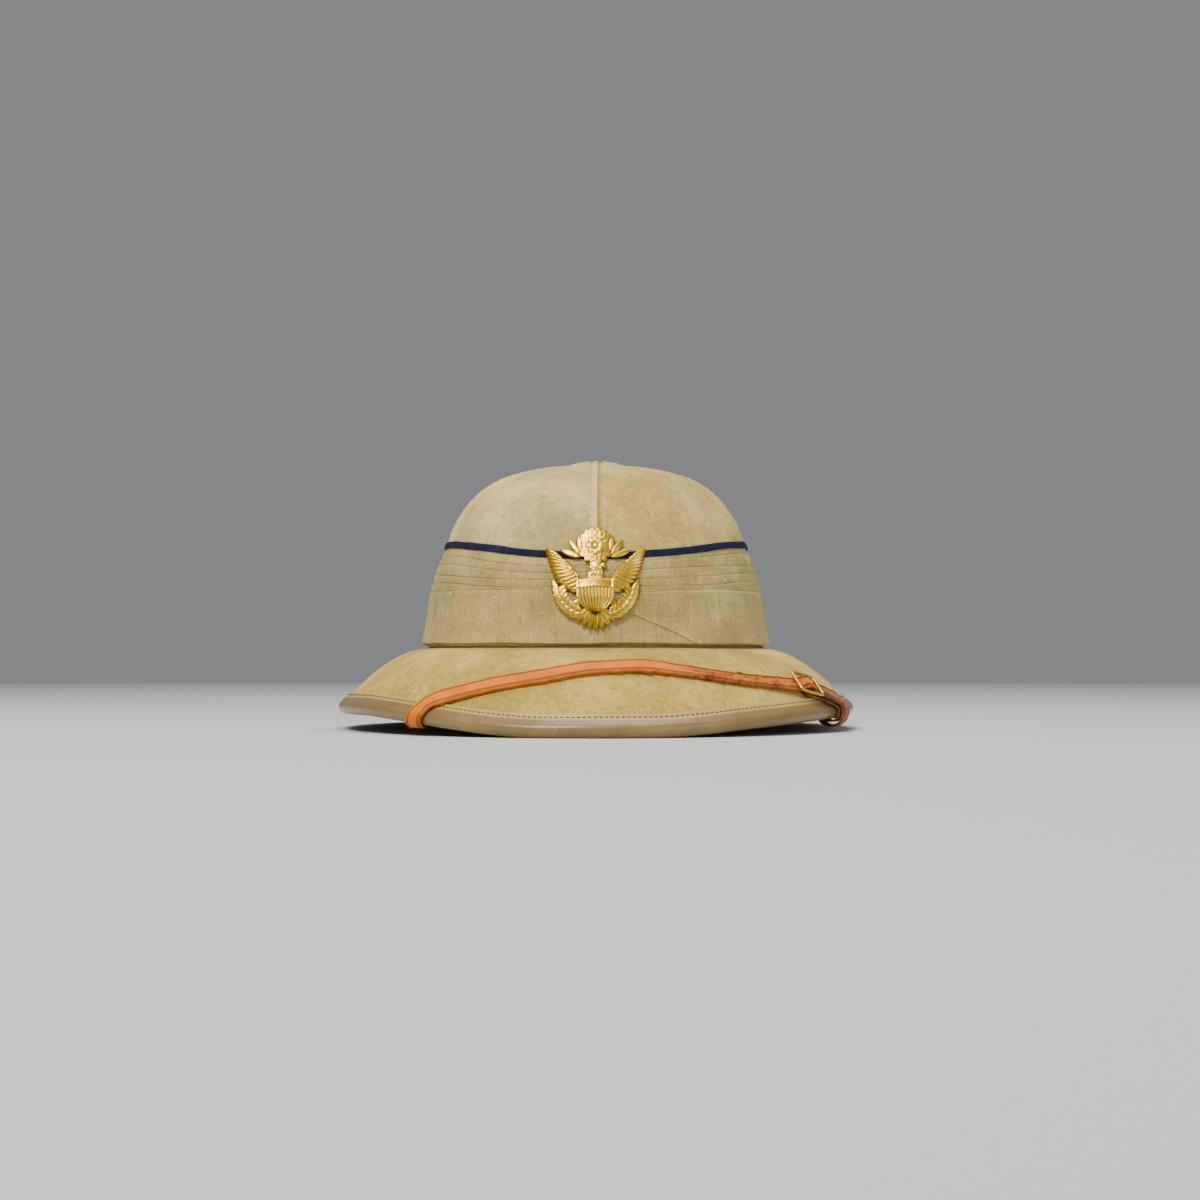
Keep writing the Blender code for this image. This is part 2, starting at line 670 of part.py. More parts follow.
# Badge, drawn flat in shares of its half width across and of its half height up
def leaf_outline(base, tip, width):
    """Pointed oval of six points from its base to its tip."""
    base, tip = np.array(base, float), np.array(tip, float)
    along = tip - base
    across = np.array([-along[1], along[0]]) / np.linalg.norm(along) * width / 2
    shape = [(0, 0), (0.35, 1), (0.75, 0.8), (1, 0), (0.75, -0.8), (0.35, -1)]
    return [base + along * f + across * g for f, g in shape]


def lobed_outline(centre, radius, lobes, depth):
    """Round outline whose edge swells in lobes."""
    points = []
    for step in range(2 * lobes):
        turn = math.pi * step / lobes
        reach = radius * (1 - depth * (step % 2))
        points.append(np.array(centre) + reach * np.array([math.cos(turn), math.sin(turn)]))
    return points


def badge_shapes():
    """Outline, height of its edge, height of its middle and how far the middle is drawn in, for each shape."""
    shapes = []

    def both(outline, edge, middle, draw):
        for side in (1, -1):
            shapes.append(([(side * x, y) for x, y in outline][::side], edge, middle, draw))

    both([(0.20, -0.02), (0.42, 0.12), (0.60, 0.34), (0.80, 0.46), (1.00, 0.52), (0.88, 0.26), (0.74, 0.04),
          (0.56, -0.12), (0.24, -0.26)], 0.5, 0.5, 0.9)
    for feather in range(6):
        f = feather / 5
        base = (0.30 + 0.20 * (1 - f), -0.12 + 0.22 * (1 - f))
        tip = (0.66 + 0.33 * (1 - f) ** 0.8, -0.16 + 0.66 * (1 - f))
        both(leaf_outline(base, tip, 0.17), 0.55, 1.0, 0.0)
    for place in range(6):
        f = place / 5
        turn = math.radians(-78 + 62 * f)
        stem = np.array([0.62 * math.cos(turn) + 0.16, 0.62 * math.sin(turn) - 0.10])
        lean = math.radians(-6 + 74 * f)
        reach = 0.25 * np.array([math.cos(lean), math.sin(lean)])
        both(leaf_outline(stem - reach * 0.35, stem + reach, 0.15), 0.5, 0.95, 0.0)
        lean += math.radians(75)
        reach = 0.20 * np.array([math.cos(lean), math.sin(lean)])
        both(leaf_outline(stem - reach * 0.3, stem + reach, 0.13), 0.45, 0.85, 0.0)
    both([(0.22, -0.42), (0.34, -0.40), (0.62, -0.56), (0.60, -0.66), (0.30, -0.54)], 0.5, 0.7, 0.6)
    for sprig, lean in enumerate((20, 52, 84)):
        base = np.array([0.30, 0.40 + 0.04 * sprig])
        reach = (0.44 - 0.05 * sprig) * np.array([math.cos(math.radians(lean)), math.sin(math.radians(lean))])
        both(leaf_outline(base, base + reach, 0.15), 0.5, 0.95, 0.0)
    for petal in range(5):
        lean = math.radians(-90 + 24 * (petal - 2))
        reach = 0.52 * np.array([math.cos(lean), math.sin(lean)])
        shapes.append((leaf_outline(np.array([0, -0.48]) + reach * 0.1, np.array([0, -0.48]) + reach, 0.20),
                       0.5, 0.95, 0.0))
    shapes.append((lobed_outline((0, 0.63), 0.37, 14, 0.10), 0.55, 0.55, 0.8))
    shapes.append((lobed_outline((0, 0.63), 0.27, 8, 0.0), 0.8, 0.9, 0.8))
    shapes.append((lobed_outline((0, 0.63), 0.17, 6, 0.35), 1.1, 1.3, 0.3))
    shapes.append(([(-0.16, -0.10), (0.16, -0.10), (0.12, 0.14), (0.09, 0.30), (-0.07, 0.30), (-0.11, 0.14)],
                   0.9, 1.2, 0.5))
    shapes.append((leaf_outline((-0.10, 0.24), (0.22, 0.20), 0.16), 1.0, 1.35, 0.0))
    shield = [(-0.37, -0.06), (-0.37, -0.36), (-0.26, -0.56), (0, -0.70), (0.26, -0.56), (0.37, -0.36),
              (0.37, -0.06), (0, -0.02)]
    shapes.append((shield, 1.1, 1.1, 0.9))
    for rib in range(-2, 3):
        top = (0.10 * rib, -0.13)
        shapes.append((leaf_outline((0.045 * rib, -0.60), top, 0.075), 1.2, 1.45, 0.0))
    return shapes


def relief_body(outline, edge, middle, draw):
    """Closed body on the badge's back plane: its edge stands up, and its middle is raised or drawn to a point."""
    flat = [np.array([x * BADGE_WIDTH / 2, y * BADGE_HEIGHT / 2]) for x, y in outline]
    centre = sum(flat) / len(flat)
    count = len(flat)
    low = [(*p, 0) for p in flat]
    rim = [(*p, BADGE_PLATE * edge) for p in flat]
    top_height = BADGE_PLATE * edge + BADGE_RELIEF * (middle - edge)
    faces = [tuple(reversed(range(count)))]
    faces += [(i, (i + 1) % count, count + (i + 1) % count, count + i) for i in range(count)]
    if draw == 0 or middle == edge:
        vertices = low + rim
        if middle == edge:
            faces.append(tuple(count + i for i in range(count)))
        else:
            vertices = vertices + [(*centre, top_height)]
            faces += [(count + i, count + (i + 1) % count, 2 * count) for i in range(count)]
        return vertices, faces
    top = [(*(centre + (p - centre) * draw), top_height) for p in flat]
    faces += [(count + i, count + (i + 1) % count, 2 * count + (i + 1) % count, 2 * count + i) for i in range(count)]
    faces.append(tuple(2 * count + i for i in range(count)))
    return low + rim + top, faces


def seat_badge(flat):
    """Bend a flat point onto the front of the helmet: its back follows the crown, over the cloth band."""
    x, up, depth = flat
    height = BADGE_CENTRE + up
    share = ease((height - FOLD_TOP) / (BADGE_CENTRE + BADGE_HEIGHT / 2 - FOLD_TOP))
    lift = BADGE_BACK_LOW + (BADGE_BACK_HIGH - BADGE_BACK_LOW) * share + depth
    radius = radius_at(height)
    across = CROWN_WIDTH / 2 * radius + lift
    along = CROWN_LENGTH / 2 * radius + lift
    return x, -CROWN_FORWARD - along * math.sqrt(1 - (x / across) ** 2), height


def build_badge(material):
    """Cast badge: all its shapes joined into one pierced body, then bent to the crown."""
    blanks = []
    for index, shape in enumerate(badge_shapes()):
        vertices, faces = relief_body(*shape)
        blank = add_piece("badge_shape_%02d" % index, vertices, faces, material)
        helmet.objects.unlink(blank)
        badge_stock.objects.link(blank)
        blanks.append(blank)
    first = blanks[0]
    badge_stock.objects.unlink(first)
    helmet.objects.link(first)
    join = first.modifiers.new("cast", "BOOLEAN")
    join.operation = "UNION"
    join.operand_type = "COLLECTION"
    join.collection = badge_stock
    bpy.context.view_layer.update()
    cast = bpy.data.meshes.new_from_object(first.evaluated_get(bpy.context.evaluated_depsgraph_get()))
    for blank in blanks:
        bpy.data.objects.remove(blank)
    bpy.data.collections.remove(badge_stock)
    body = bmesh.new()
    body.from_mesh(cast)
    bmesh.ops.remove_doubles(body, verts=body.verts, dist=1e-5)
    bmesh.ops.dissolve_degenerate(body, edges=body.edges, dist=1e-5)
    bmesh.ops.dissolve_limit(body, verts=body.verts, edges=body.edges, angle_limit=math.radians(1))
    bmesh.ops.triangulate(body, faces=body.faces)
    for vertex in body.verts:
        vertex.co = Vector(map(float, seat_badge(vertex.co)))
    bmesh.ops.recalc_face_normals(body, faces=body.faces)
    body.to_mesh(cast)
    body.free()
    cast.name = "badge"
    piece = bpy.data.objects.new("badge", cast)
    helmet.objects.link(piece)
    piece.parent = root
    cast.shade_smooth()
    cast.set_sharp_from_angle(angle=math.radians(30))


for old in list(bpy.data.objects):
    bpy.data.objects.remove(old)
helmet = new_collection("pith_helmet")
cutters = new_collection("cutters")
badge_stock = new_collection("badge_shapes")
root = bpy.data.objects.new("helmet_origin", None)
helmet.objects.link(root)

pith = finish("moulded_pith", (0.40, 0.33, 0.20), 0.9)
crown_cloth = finish("crown_cloth", (0.46, 0.38, 0.20), 0.95)
band_cloth = finish("band_cloth", (0.42, 0.36, 0.20), 0.95)
navy = finish("navy_ribbon", (0.02, 0.02, 0.07), 0.8)
oilcloth = finish("binding_oilcloth", (0.33, 0.25, 0.12), 0.45)
tan_leather = finish("tan_leather", (0.55, 0.20, 0.06), 0.5)
worn_leather = finish("worn_leather", (0.38, 0.14, 0.05), 0.6)
brass = finish("brass", (0.70, 0.52, 0.20), 0.3, 1.0)
gilt = finish("gilt", (0.90, 0.62, 0.18), 0.3, 1.0)

build_shell(pith)
for order, where in enumerate(("front_right", "back_right", "back_left", "front_left")):
    build_crown_panel("crown_panel_" + where, order, crown_cloth)
build_seams(crown_cloth)
build_brim_cover(crown_cloth)
build_ribbon(navy)
build_pleated_band(band_cloth)
build_band_fold(band_cloth)
build_band_end(band_cloth)
build_binding(oilcloth)
bar_height, buckle_rise = build_straps(tan_leather, worn_leather, brass)
build_buckle(bar_height, buckle_rise, brass)
build_badge(gilt)
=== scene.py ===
# %% [markdown]
# # Pith helmet
#
# A pith helmet is a light sun hat. A moulded shell is covered with four cloth gores, a cloth band is
# pleated round the crown, the brim's edge is bound, and a leather strap lies over the brim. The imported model
# gives every piece its place. This script dresses it: each surface is worked out again on a fine grid, from
# the same sizes, and gets a finish made of texture nodes.

# %% The tools
import math

import bmesh
import bpy
import numpy as np
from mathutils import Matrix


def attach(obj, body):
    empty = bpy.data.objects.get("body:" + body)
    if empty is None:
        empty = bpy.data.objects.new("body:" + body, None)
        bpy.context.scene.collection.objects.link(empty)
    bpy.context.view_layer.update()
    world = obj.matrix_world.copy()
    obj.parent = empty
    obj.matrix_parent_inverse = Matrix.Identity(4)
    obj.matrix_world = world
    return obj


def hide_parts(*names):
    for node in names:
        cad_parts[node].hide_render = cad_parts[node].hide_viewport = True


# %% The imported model
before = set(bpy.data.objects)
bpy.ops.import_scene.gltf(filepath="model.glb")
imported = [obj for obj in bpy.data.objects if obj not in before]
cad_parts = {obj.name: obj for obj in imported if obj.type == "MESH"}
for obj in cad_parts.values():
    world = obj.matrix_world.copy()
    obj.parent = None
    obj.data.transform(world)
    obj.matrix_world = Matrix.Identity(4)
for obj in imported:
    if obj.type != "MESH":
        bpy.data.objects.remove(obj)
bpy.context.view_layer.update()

# %% [markdown]
# ## Sizes
#
# The helmet faces -Y and rests on its brim at z = 0. All lengths are in metres. An angle round the helmet is
# measured from the front towards +X, which is the right-hand side of the picture.

# %% Driving sizes
BRIM_WIDTH = 0.280
BRIM_LENGTH = 0.334
CROWN_WIDTH = 0.183
CROWN_LENGTH = 0.215
CROWN_FORWARD = 0.004
JUNCTION_HEIGHT = 0.0435
CROWN_RISE = 0.1021
SHELL_WALL = 0.003
CLOTH = 0.001
GAP = 0.0003
STACK = CLOTH + GAP + SHELL_WALL
FULL_TURN = 2 * math.pi
UP = np.array([0.0, 0.0, 1.0])

# Crown section: share of the half width, share of the rise, from the top down
CROWN_ROWS = [
    (0.000, 1.000), (0.100, 0.989), (0.175, 0.972), (0.360, 0.951), (0.530, 0.914), (0.670, 0.847),
    (0.790, 0.733), (0.865, 0.600), (0.962, 0.250), (1.000, 0.000),
]

# %% Sizes of the brim's edge
RIM_RADIUS = 0.0039
RIM_REACH = RIM_RADIUS * math.cos(math.radians(15))
EDGE_LIFT = 0.009
EDGE_SLOPE = math.radians(52)
DROP_SHARE = 0.15

# Brim edge: degrees from the front, share of EDGE_LIFT
EDGE_ROWS = [
    (-180, 0.00), (-160, 0.00), (-120, 0.60), (-90, 0.88), (-60, 1.00), (-47, 0.82), (-38, 0.60),
    (-30, 0.38), (-22, 0.16), (-12, 0.00), (12, 0.00), (22, 0.14), (32, 0.37), (42, 0.55), (52, 0.69),
    (64, 0.79), (90, 0.86), (120, 0.60), (160, 0.00), (180, 0.00),
]


# %% [markdown]
# ## Curves and surfaces
#
# A helmet block is carved by eye, so its section is a smooth curve through a few measured points. A cubic
# that never swings past its points keeps the shape honest. The crown is that section turned into ovals, and
# the brim falls from the crown's foot to the edge, ever more steeply.

# %% Small helpers
def together(*values):
    """Values whose shapes fit each other, as one array of points."""
    return np.stack(np.broadcast_arrays(*values), -1)


def unit(vectors):
    """The same directions with a length of one."""
    return vectors / np.linalg.norm(vectors, axis=-1, keepdims=True)


def run_along(points):
    """Distance from the start to each point of a line."""
    return np.concatenate(([0], np.cumsum(np.linalg.norm(np.diff(points, axis=0), axis=1))))


def from_front(angles):
    """Angles from minus to plus half a turn, 0 at the front."""
    return (angles + math.pi) % FULL_TURN - math.pi


# %% Curve through a table
def smooth_curve(positions, values, at, level_start=False):
    """Cubic between neighbouring points. Its slope at each is the harmonic mean of the slopes beside it."""
    x = np.asarray(positions, float)
    y = np.asarray(values, float)
    width = np.diff(x)
    slope = np.diff(y) / width
    product = slope[:-1] * slope[1:]
    total = np.where(product > 0, slope[:-1] + slope[1:], 1)
    middle = np.where(product > 0, 2 * product / total, 0)
    tangent = np.concatenate(([0 if level_start else slope[0]], middle, [slope[-1]]))
    at = np.clip(at, x[0], x[-1])
    i = np.clip(np.searchsorted(x, at) - 1, 0, len(width) - 1)
    f = (at - x[i]) / width[i]
    start = (1 + 2 * f) * (1 - f) ** 2 * y[i] + f * (1 - f) ** 2 * width[i] * tangent[i]
    end = f * f * (3 - 2 * f) * y[i + 1] + f * f * (f - 1) * width[i] * tangent[i + 1]
    return start + end


def ease(value):
    """Smooth step: three times the square less twice the cube, between 0 and 1."""
    f = np.clip(value, 0, 1)
    return f * f * (3 - 2 * f)


# %% Crown surface
radius_shares, height_shares = np.array(CROWN_ROWS).T
section_run = run_along(together(radius_shares * CROWN_WIDTH / 2, height_shares * CROWN_RISE))
SECTION_LENGTH = float(section_run[-1])
section_run /= SECTION_LENGTH


def crown_section(share):
    """Radius share and height share at a share of the way down the crown's section."""
    radius = smooth_curve(section_run, radius_shares, share)
    height = smooth_curve(section_run, height_shares, share, level_start=True)
    return radius, height


def crown_surface(angles, shares, lift=0.0):
    """Ovals of half width A r and half length B r at a height C h, then moved out by lift.

    The direction out is the cross product of the two tangents, which is (-B C h' sin, A C h' cos, A B r').
    """
    a, b, c = CROWN_WIDTH / 2, CROWN_LENGTH / 2, CROWN_RISE
    radius, height = crown_section(shares)
    step = 1e-3
    radius_more, height_more = crown_section(np.minimum(shares + step, 1))
    radius_less, height_less = crown_section(np.maximum(shares - step, 0))
    growth = radius_more - radius_less
    fall = height_more - height_less
    sine, cosine = np.sin(angles), np.cos(angles)
    out = unit(together(-b * c * fall * sine, a * c * fall * cosine, a * b * growth))
    place = together(a * radius * sine, -CROWN_FORWARD - b * radius * cosine, JUNCTION_HEIGHT + c * height)
    return place + out * np.asarray(lift)[..., None]


share_steps = np.linspace(0, 1, 2001)
radius_steps, height_steps = crown_section(share_steps)


def share_at_height(height):
    """Share of the way down the section at a height, looked up on a fine table."""
    return np.interp((JUNCTION_HEIGHT - height) / CROWN_RISE, -height_steps, share_steps)


def radius_at_height(height):
    """Radius share at a height, straight between the section's rows, for parts that only follow the wall."""
    return np.interp((height - JUNCTION_HEIGHT) / CROWN_RISE, height_shares[::-1], radius_shares[::-1])


def crown_over(x, y, lift):
    """Point of the crown over a place in plan, from the place's angle and its share of the oval."""
    across, along = x / (CROWN_WIDTH / 2), -(y + CROWN_FORWARD) / (CROWN_LENGTH / 2)
    share = np.interp(np.hypot(across, along), radius_steps, share_steps)
    return crown_surface(np.arctan2(across, along), share, lift)


def wall_surface(angles, heights, lift):
    """Crown surface at a height instead of a share."""
    return crown_surface(angles, share_at_height(heights), lift)


print("crown section is", round(1000 * SECTION_LENGTH), "mm long from top to foot")


# %% Brim surface
def edge_frame(angles):
    """Rim's centre, direction down the brim, direction out of its top and direction away from the helmet."""
    across = BRIM_WIDTH / 2 - RIM_REACH
    along = BRIM_LENGTH / 2 - RIM_REACH
    outward = unit(together(np.sin(angles) / across, -np.cos(angles) / along, 0.0))
    degrees = (np.degrees(angles) + 180) % 360 - 180
    lift = EDGE_LIFT * smooth_curve([a for a, _ in EDGE_ROWS], [s for _, s in EDGE_ROWS], degrees)
    centre = together(across * np.sin(angles), -along * np.cos(angles), RIM_REACH + lift)
    down_slope = outward * math.cos(EDGE_SLOPE) - UP * math.sin(EDGE_SLOPE)
    normal = outward * math.sin(EDGE_SLOPE) + UP * math.cos(EDGE_SLOPE)
    return centre, down_slope, normal, outward


def edge_point(angles, inset, depth):
    """Point a distance in from the rim's centre along the brim, and a depth below the brim's cloth."""
    centre, down_slope, normal, _ = edge_frame(angles)
    return centre - down_slope * inset + normal * (STACK / 2 - depth)


def brim_surface(angles, shares, lift=0.0):
    """Brim from the crown's foot to its edge. The drop is a straight part plus the square of the share.

    Returns the points and the direction out of the brim, which leans with the slope of that drop.
    """
    edge = edge_point(angles, 0, 0)
    outward = edge_frame(angles)[3]
    foot = crown_surface(angles, 1 + 0 * angles)
    run = np.linalg.norm((edge - foot)[..., :2], axis=-1)
    fall = foot[..., 2] - edge[..., 2]
    drop = DROP_SHARE * shares + (1 - DROP_SHARE) * shares ** 2
    steep = np.arctan2(fall * (DROP_SHARE + 2 * (1 - DROP_SHARE) * shares), run)[..., None]
    place = foot + (edge - foot) * together(shares, shares, drop)
    out = outward * np.sin(steep) + UP * np.cos(steep)
    return place + out * np.asarray(lift)[..., None], out


# %% Wandering values for creases and dents
def ripple(points, length, seed, stretch=(1, 1, 1), waves=14):
    """Sum of sine waves through space, about -1 to 1, with seeded directions, lengths and starts."""
    draw = np.random.default_rng(seed)
    direction = unit(draw.normal(size=(waves, 3)))
    wave = direction * FULL_TURN / (length * draw.uniform(0.7, 1.6, (waves, 1))) * np.array(stretch)
    start = draw.uniform(0, FULL_TURN, waves)
    return np.sin(points @ wave.T + start).sum(-1) / math.sqrt(waves / 2) / 1.6


def round_guide(angles, reach=0.1):
    """Points on a circle about the helmet's middle, so that a ripple closes on itself."""
    return together(np.sin(angles), np.cos(angles), 0.0) * reach


# %% [markdown]
# ## From grids to pieces
#
# Every piece is a grid of points: rows run down or along it, columns across. A skin is one closed surface,
# and a slab has a front and a back grid joined round their edges, like cut cloth. Each corner also keeps its
# place in the flat pattern, in metres, so that a weave follows the cloth.

# %% Skins and slabs
def quads(rows, columns, around=False, closed=False):
    """Corner numbers of a grid's faces, outside first, and the same corners in its flat pattern."""
    r, c = np.meshgrid(np.arange(rows - (not closed)), np.arange(columns - (not around)), indexing="ij")
    corners = [(r, c), (r + 1, c), (r + 1, c + 1), (r, c + 1)]
    faces = np.stack([i % rows * columns + j % columns for i, j in corners], -1).reshape(-1, 4)
    flat = np.stack([i * (columns + around) + j for i, j in corners], -1).reshape(-1, 4)
    return faces, flat


def skin(points, flat, around=False, closed=False):
    """One grid as a surface."""
    faces, pattern = quads(*points.shape[:2], around, closed)
    return points.reshape(-1, 3), faces, flat.reshape(-1, 2)[pattern]


def slab(front, back, flat, around=False):
    """Front grid and back grid of the same size, joined along every open edge."""
    rows, columns = front.shape[:2]
    faces, pattern = quads(rows, columns, around)
    count = rows * columns
    number = np.arange(count).reshape(rows, columns)
    places = np.arange(rows * (columns + around)).reshape(rows, columns + around)
    all_faces = [faces, faces[:, ::-1] + count]
    all_places = [pattern, pattern[:, ::-1]]
    following = np.roll(number, -1, axis=1) if around else number[:, 1:]
    leading = number if around else number[:, :-1]
    for end, order in ((0, 1), (-1, -1)):
        first, last = leading[end], following[end]
        all_faces.append(np.stack([first, last, last + count, first + count], -1)[:, ::order])
        first, last = places[end, :-1], places[end, 1:]
        all_places.append(np.stack([first, last, last, first], -1)[:, ::order])
        if not around:
            first, last = number[:-1, end], number[1:, end]
            all_faces.append(np.stack([first, first + count, last + count, last], -1)[:, ::order])
            first, last = places[:-1, end], places[1:, end]
            all_places.append(np.stack([first, first, last, last], -1)[:, ::order])
    points = np.concatenate([front.reshape(-1, 3), back.reshape(-1, 3)])
    return points, np.concatenate(all_faces), flat.reshape(-1, 2)[np.concatenate(all_places)]


def rod(rings, flat):
    """Rings of points along a path, joined round. A point at the end ring's middle closes each end."""
    first = np.repeat(rings[:1].mean(1, keepdims=True), rings.shape[1], 1)
    last = np.repeat(rings[-1:].mean(1, keepdims=True), rings.shape[1], 1)
    flat = np.concatenate([flat[:1], flat, flat[-1:]])
    return skin(np.concatenate([first, rings, last]), flat, around=True)


def join(parts):
    """Several surfaces as one, with their corner numbers moved up."""
    offsets = np.cumsum([0] + [len(points) for points, _, _ in parts[:-1]])
    points = np.concatenate([points for points, _, _ in parts])
    faces = np.concatenate([faces + offset for (_, faces, _), offset in zip(parts, offsets)])
    return points, faces, np.concatenate([flat for _, _, flat in parts])


def make_piece(name, surface, finish, nodes, sharp=40, merge=False):
    """Put a surface into a mesh with whole-array calls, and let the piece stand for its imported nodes.

    Every surface is closed. If the volume it bounds is negative, its faces look inwards and are turned.
    """
    points, faces, flat = surface
    a, b, c, d = (points[faces[:, corner]] for corner in range(4))
    if (a * np.cross(b, c)).sum() + (a * np.cross(c, d)).sum() < 0:
        faces, flat = faces[:, ::-1], flat[:, ::-1]
    mesh = bpy.data.meshes.new(name)
    mesh.vertices.add(len(points))
    mesh.vertices.foreach_set("co", np.ascontiguousarray(points, np.float32).ravel())
    mesh.loops.add(faces.size)
    mesh.loops.foreach_set("vertex_index", np.ascontiguousarray(faces, np.int32).ravel())
    mesh.polygons.add(len(faces))
    mesh.polygons.foreach_set("loop_start", np.arange(0, faces.size, 4, dtype=np.int32))
    mesh.update(calc_edges=True)
    pattern = mesh.uv_layers.new(name="pattern")
    pattern.data.foreach_set("uv", np.ascontiguousarray(flat, np.float32).ravel())
    if merge:
        body = bmesh.new()
        body.from_mesh(mesh)
        bmesh.ops.remove_doubles(body, verts=body.verts, dist=1e-7)
        body.to_mesh(mesh)
        body.free()
    mesh.validate()
    mesh.shade_smooth()
    mesh.set_sharp_from_angle(angle=math.radians(sharp))
    piece = bpy.data.objects.new(name, mesh)
    bpy.context.scene.collection.objects.link(piece)
    piece.data.materials.append(finish)
    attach(piece, "root")
    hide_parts(*nodes)
    mesh.calc_loop_triangles()
    print(name, len(mesh.loop_triangles), "triangles")
    return piece


# %% [markdown]
# ## Writing finishes
#
# A finish is a tree of texture nodes. Written as arithmetic it reads like a recipe: a small class wraps one
# socket, and sums and products on it add the Math nodes.

# %% Socket arithmetic
class Value:
    """One output socket of a finish. Arithmetic on it adds Math nodes."""

    def __init__(self, finish, socket):
        self.finish = finish
        self.socket = socket

    def __getitem__(self, name):
        return Value(self.finish, self.socket.node.outputs[name])

    def math(self, operation, *terms):
        return self.finish.node("ShaderNodeMath", {"operation": operation}, dict(enumerate(terms)))

    def __add__(self, other):
        return self.math("ADD", self, other)

    __radd__ = __add__

    def __sub__(self, other):
        return self.math("SUBTRACT", self, other)

    def __rsub__(self, other):
        return self.math("SUBTRACT", other, self)

    def __mul__(self, other):
        return self.math("MULTIPLY", self, other)

    def __abs__(self):
        return self.math("ABSOLUTE", self)

    def sine(self):
        return self.math("SINE", self)

    def between(self, low, high):
        """0 below low, 1 above high, and a smooth step from one to the other."""
        ends = {"Value": self, "From Min": low, "From Max": high}
        return self.finish.node("ShaderNodeMapRange", {"interpolation_type": "SMOOTHSTEP"}, ends)


# %% Finishes
class Finish:
    """A material and the few kinds of nodes that its recipe needs."""

    def __init__(self, name, **sockets):
        self.material = bpy.data.materials.new(name)
        self.material.use_nodes = True
        self.tree = self.material.node_tree
        self.shader = self.tree.nodes["Principled BSDF"]
        for socket, value in sockets.items():
            self.shader.inputs[socket.replace("_", " ")].default_value = value
        self.place = self.node("ShaderNodeTexCoord")["Object"]
        self.pattern = self.node("ShaderNodeUVMap", {"uv_map": "pattern"})

    def node(self, kind, settings=None, inputs=None):
        """Add a node with its settings, then feed its sockets. Gives its first live output."""
        made = self.tree.nodes.new(kind)
        for key, value in (settings or {}).items():
            setattr(made, key, value)
        for key, value in (inputs or {}).items():
            self.feed(made.inputs[key], value)
        return Value(self, next(s for s in made.outputs if s.enabled))

    def feed(self, socket, value):
        if isinstance(value, Value):
            self.tree.links.new(value.socket, socket)
        elif socket.type == "RGBA":
            socket.default_value = (*value[:3], 1)
        else:
            socket.default_value = value

    def split(self, vector):
        """A vector's three numbers, to be taken by "X", "Y" or "Z"."""
        return self.node("ShaderNodeSeparateXYZ", None, {0: vector})

    def vector_math(self, operation, *terms):
        return self.node("ShaderNodeVectorMath", {"operation": operation}, dict(enumerate(terms)))

    def stretched(self, vector, scale):
        """The same place with each direction scaled."""
        return self.node("ShaderNodeMapping", None, {"Vector": vector, "Scale": scale})

    def noise(self, size, vector=None, detail=3.0, roughness=0.55, distortion=0.0):
        """Cloudy value, 0 to 1, whose patches are about size metres wide."""
        sockets = {"Vector": vector or self.place, "Scale": 1 / size, "Detail": detail,
                   "Roughness": roughness, "Distortion": distortion}
        return self.node("ShaderNodeTexNoise", None, sockets)

    def cells(self, size, vector=None):
        """Distance to the nearest of many scattered points, about size metres apart."""
        sockets = {"Vector": vector or self.place, "Scale": 1 / size}
        return self.node("ShaderNodeTexVoronoi", None, sockets)["Distance"]

    def blend(self, first, second, factor):
        """Colour between two colours."""
        made = self.tree.nodes.new("ShaderNodeMix")
        made.data_type = "RGBA"
        self.feed(made.inputs["Factor"], factor)
        for name, colour in (("A", first), ("B", second)):
            socket = next(s for s in made.inputs if s.name == name and s.type == "RGBA")
            self.feed(socket, colour)
        return Value(self, next(s for s in made.outputs if s.type == "RGBA"))

    def bump(self, height, distance):
        """Feed a relief of that height in metres to the shader's Normal."""
        relief = self.node("ShaderNodeBump", None, {"Height": height, "Distance": distance, "Strength": 1.0})
        self.feed(self.shader.inputs["Normal"], relief)

    def show(self, colour=None, roughness=None, metallic=None):
        for name, value in (("Base Color", colour), ("Roughness", roughness), ("Metallic", metallic)):
            if value is not None:
                self.feed(self.shader.inputs[name], value)
        return self.material


# %% [markdown]
# ## Cloth
#
# The crown and the brim wear brushed cotton drill, faded and a little stained: soft, matt, with a short nap
# over a fine twill. The band is a thinner cotton with threads that show as fine upright lines.

# %% Brushed drill
TWILL_PITCH = 0.0011
# Distances from a seam line over which the painted shade beside it fades out, in metres
SEAM_SHADE_BAND = (0.0012, 0.0040)


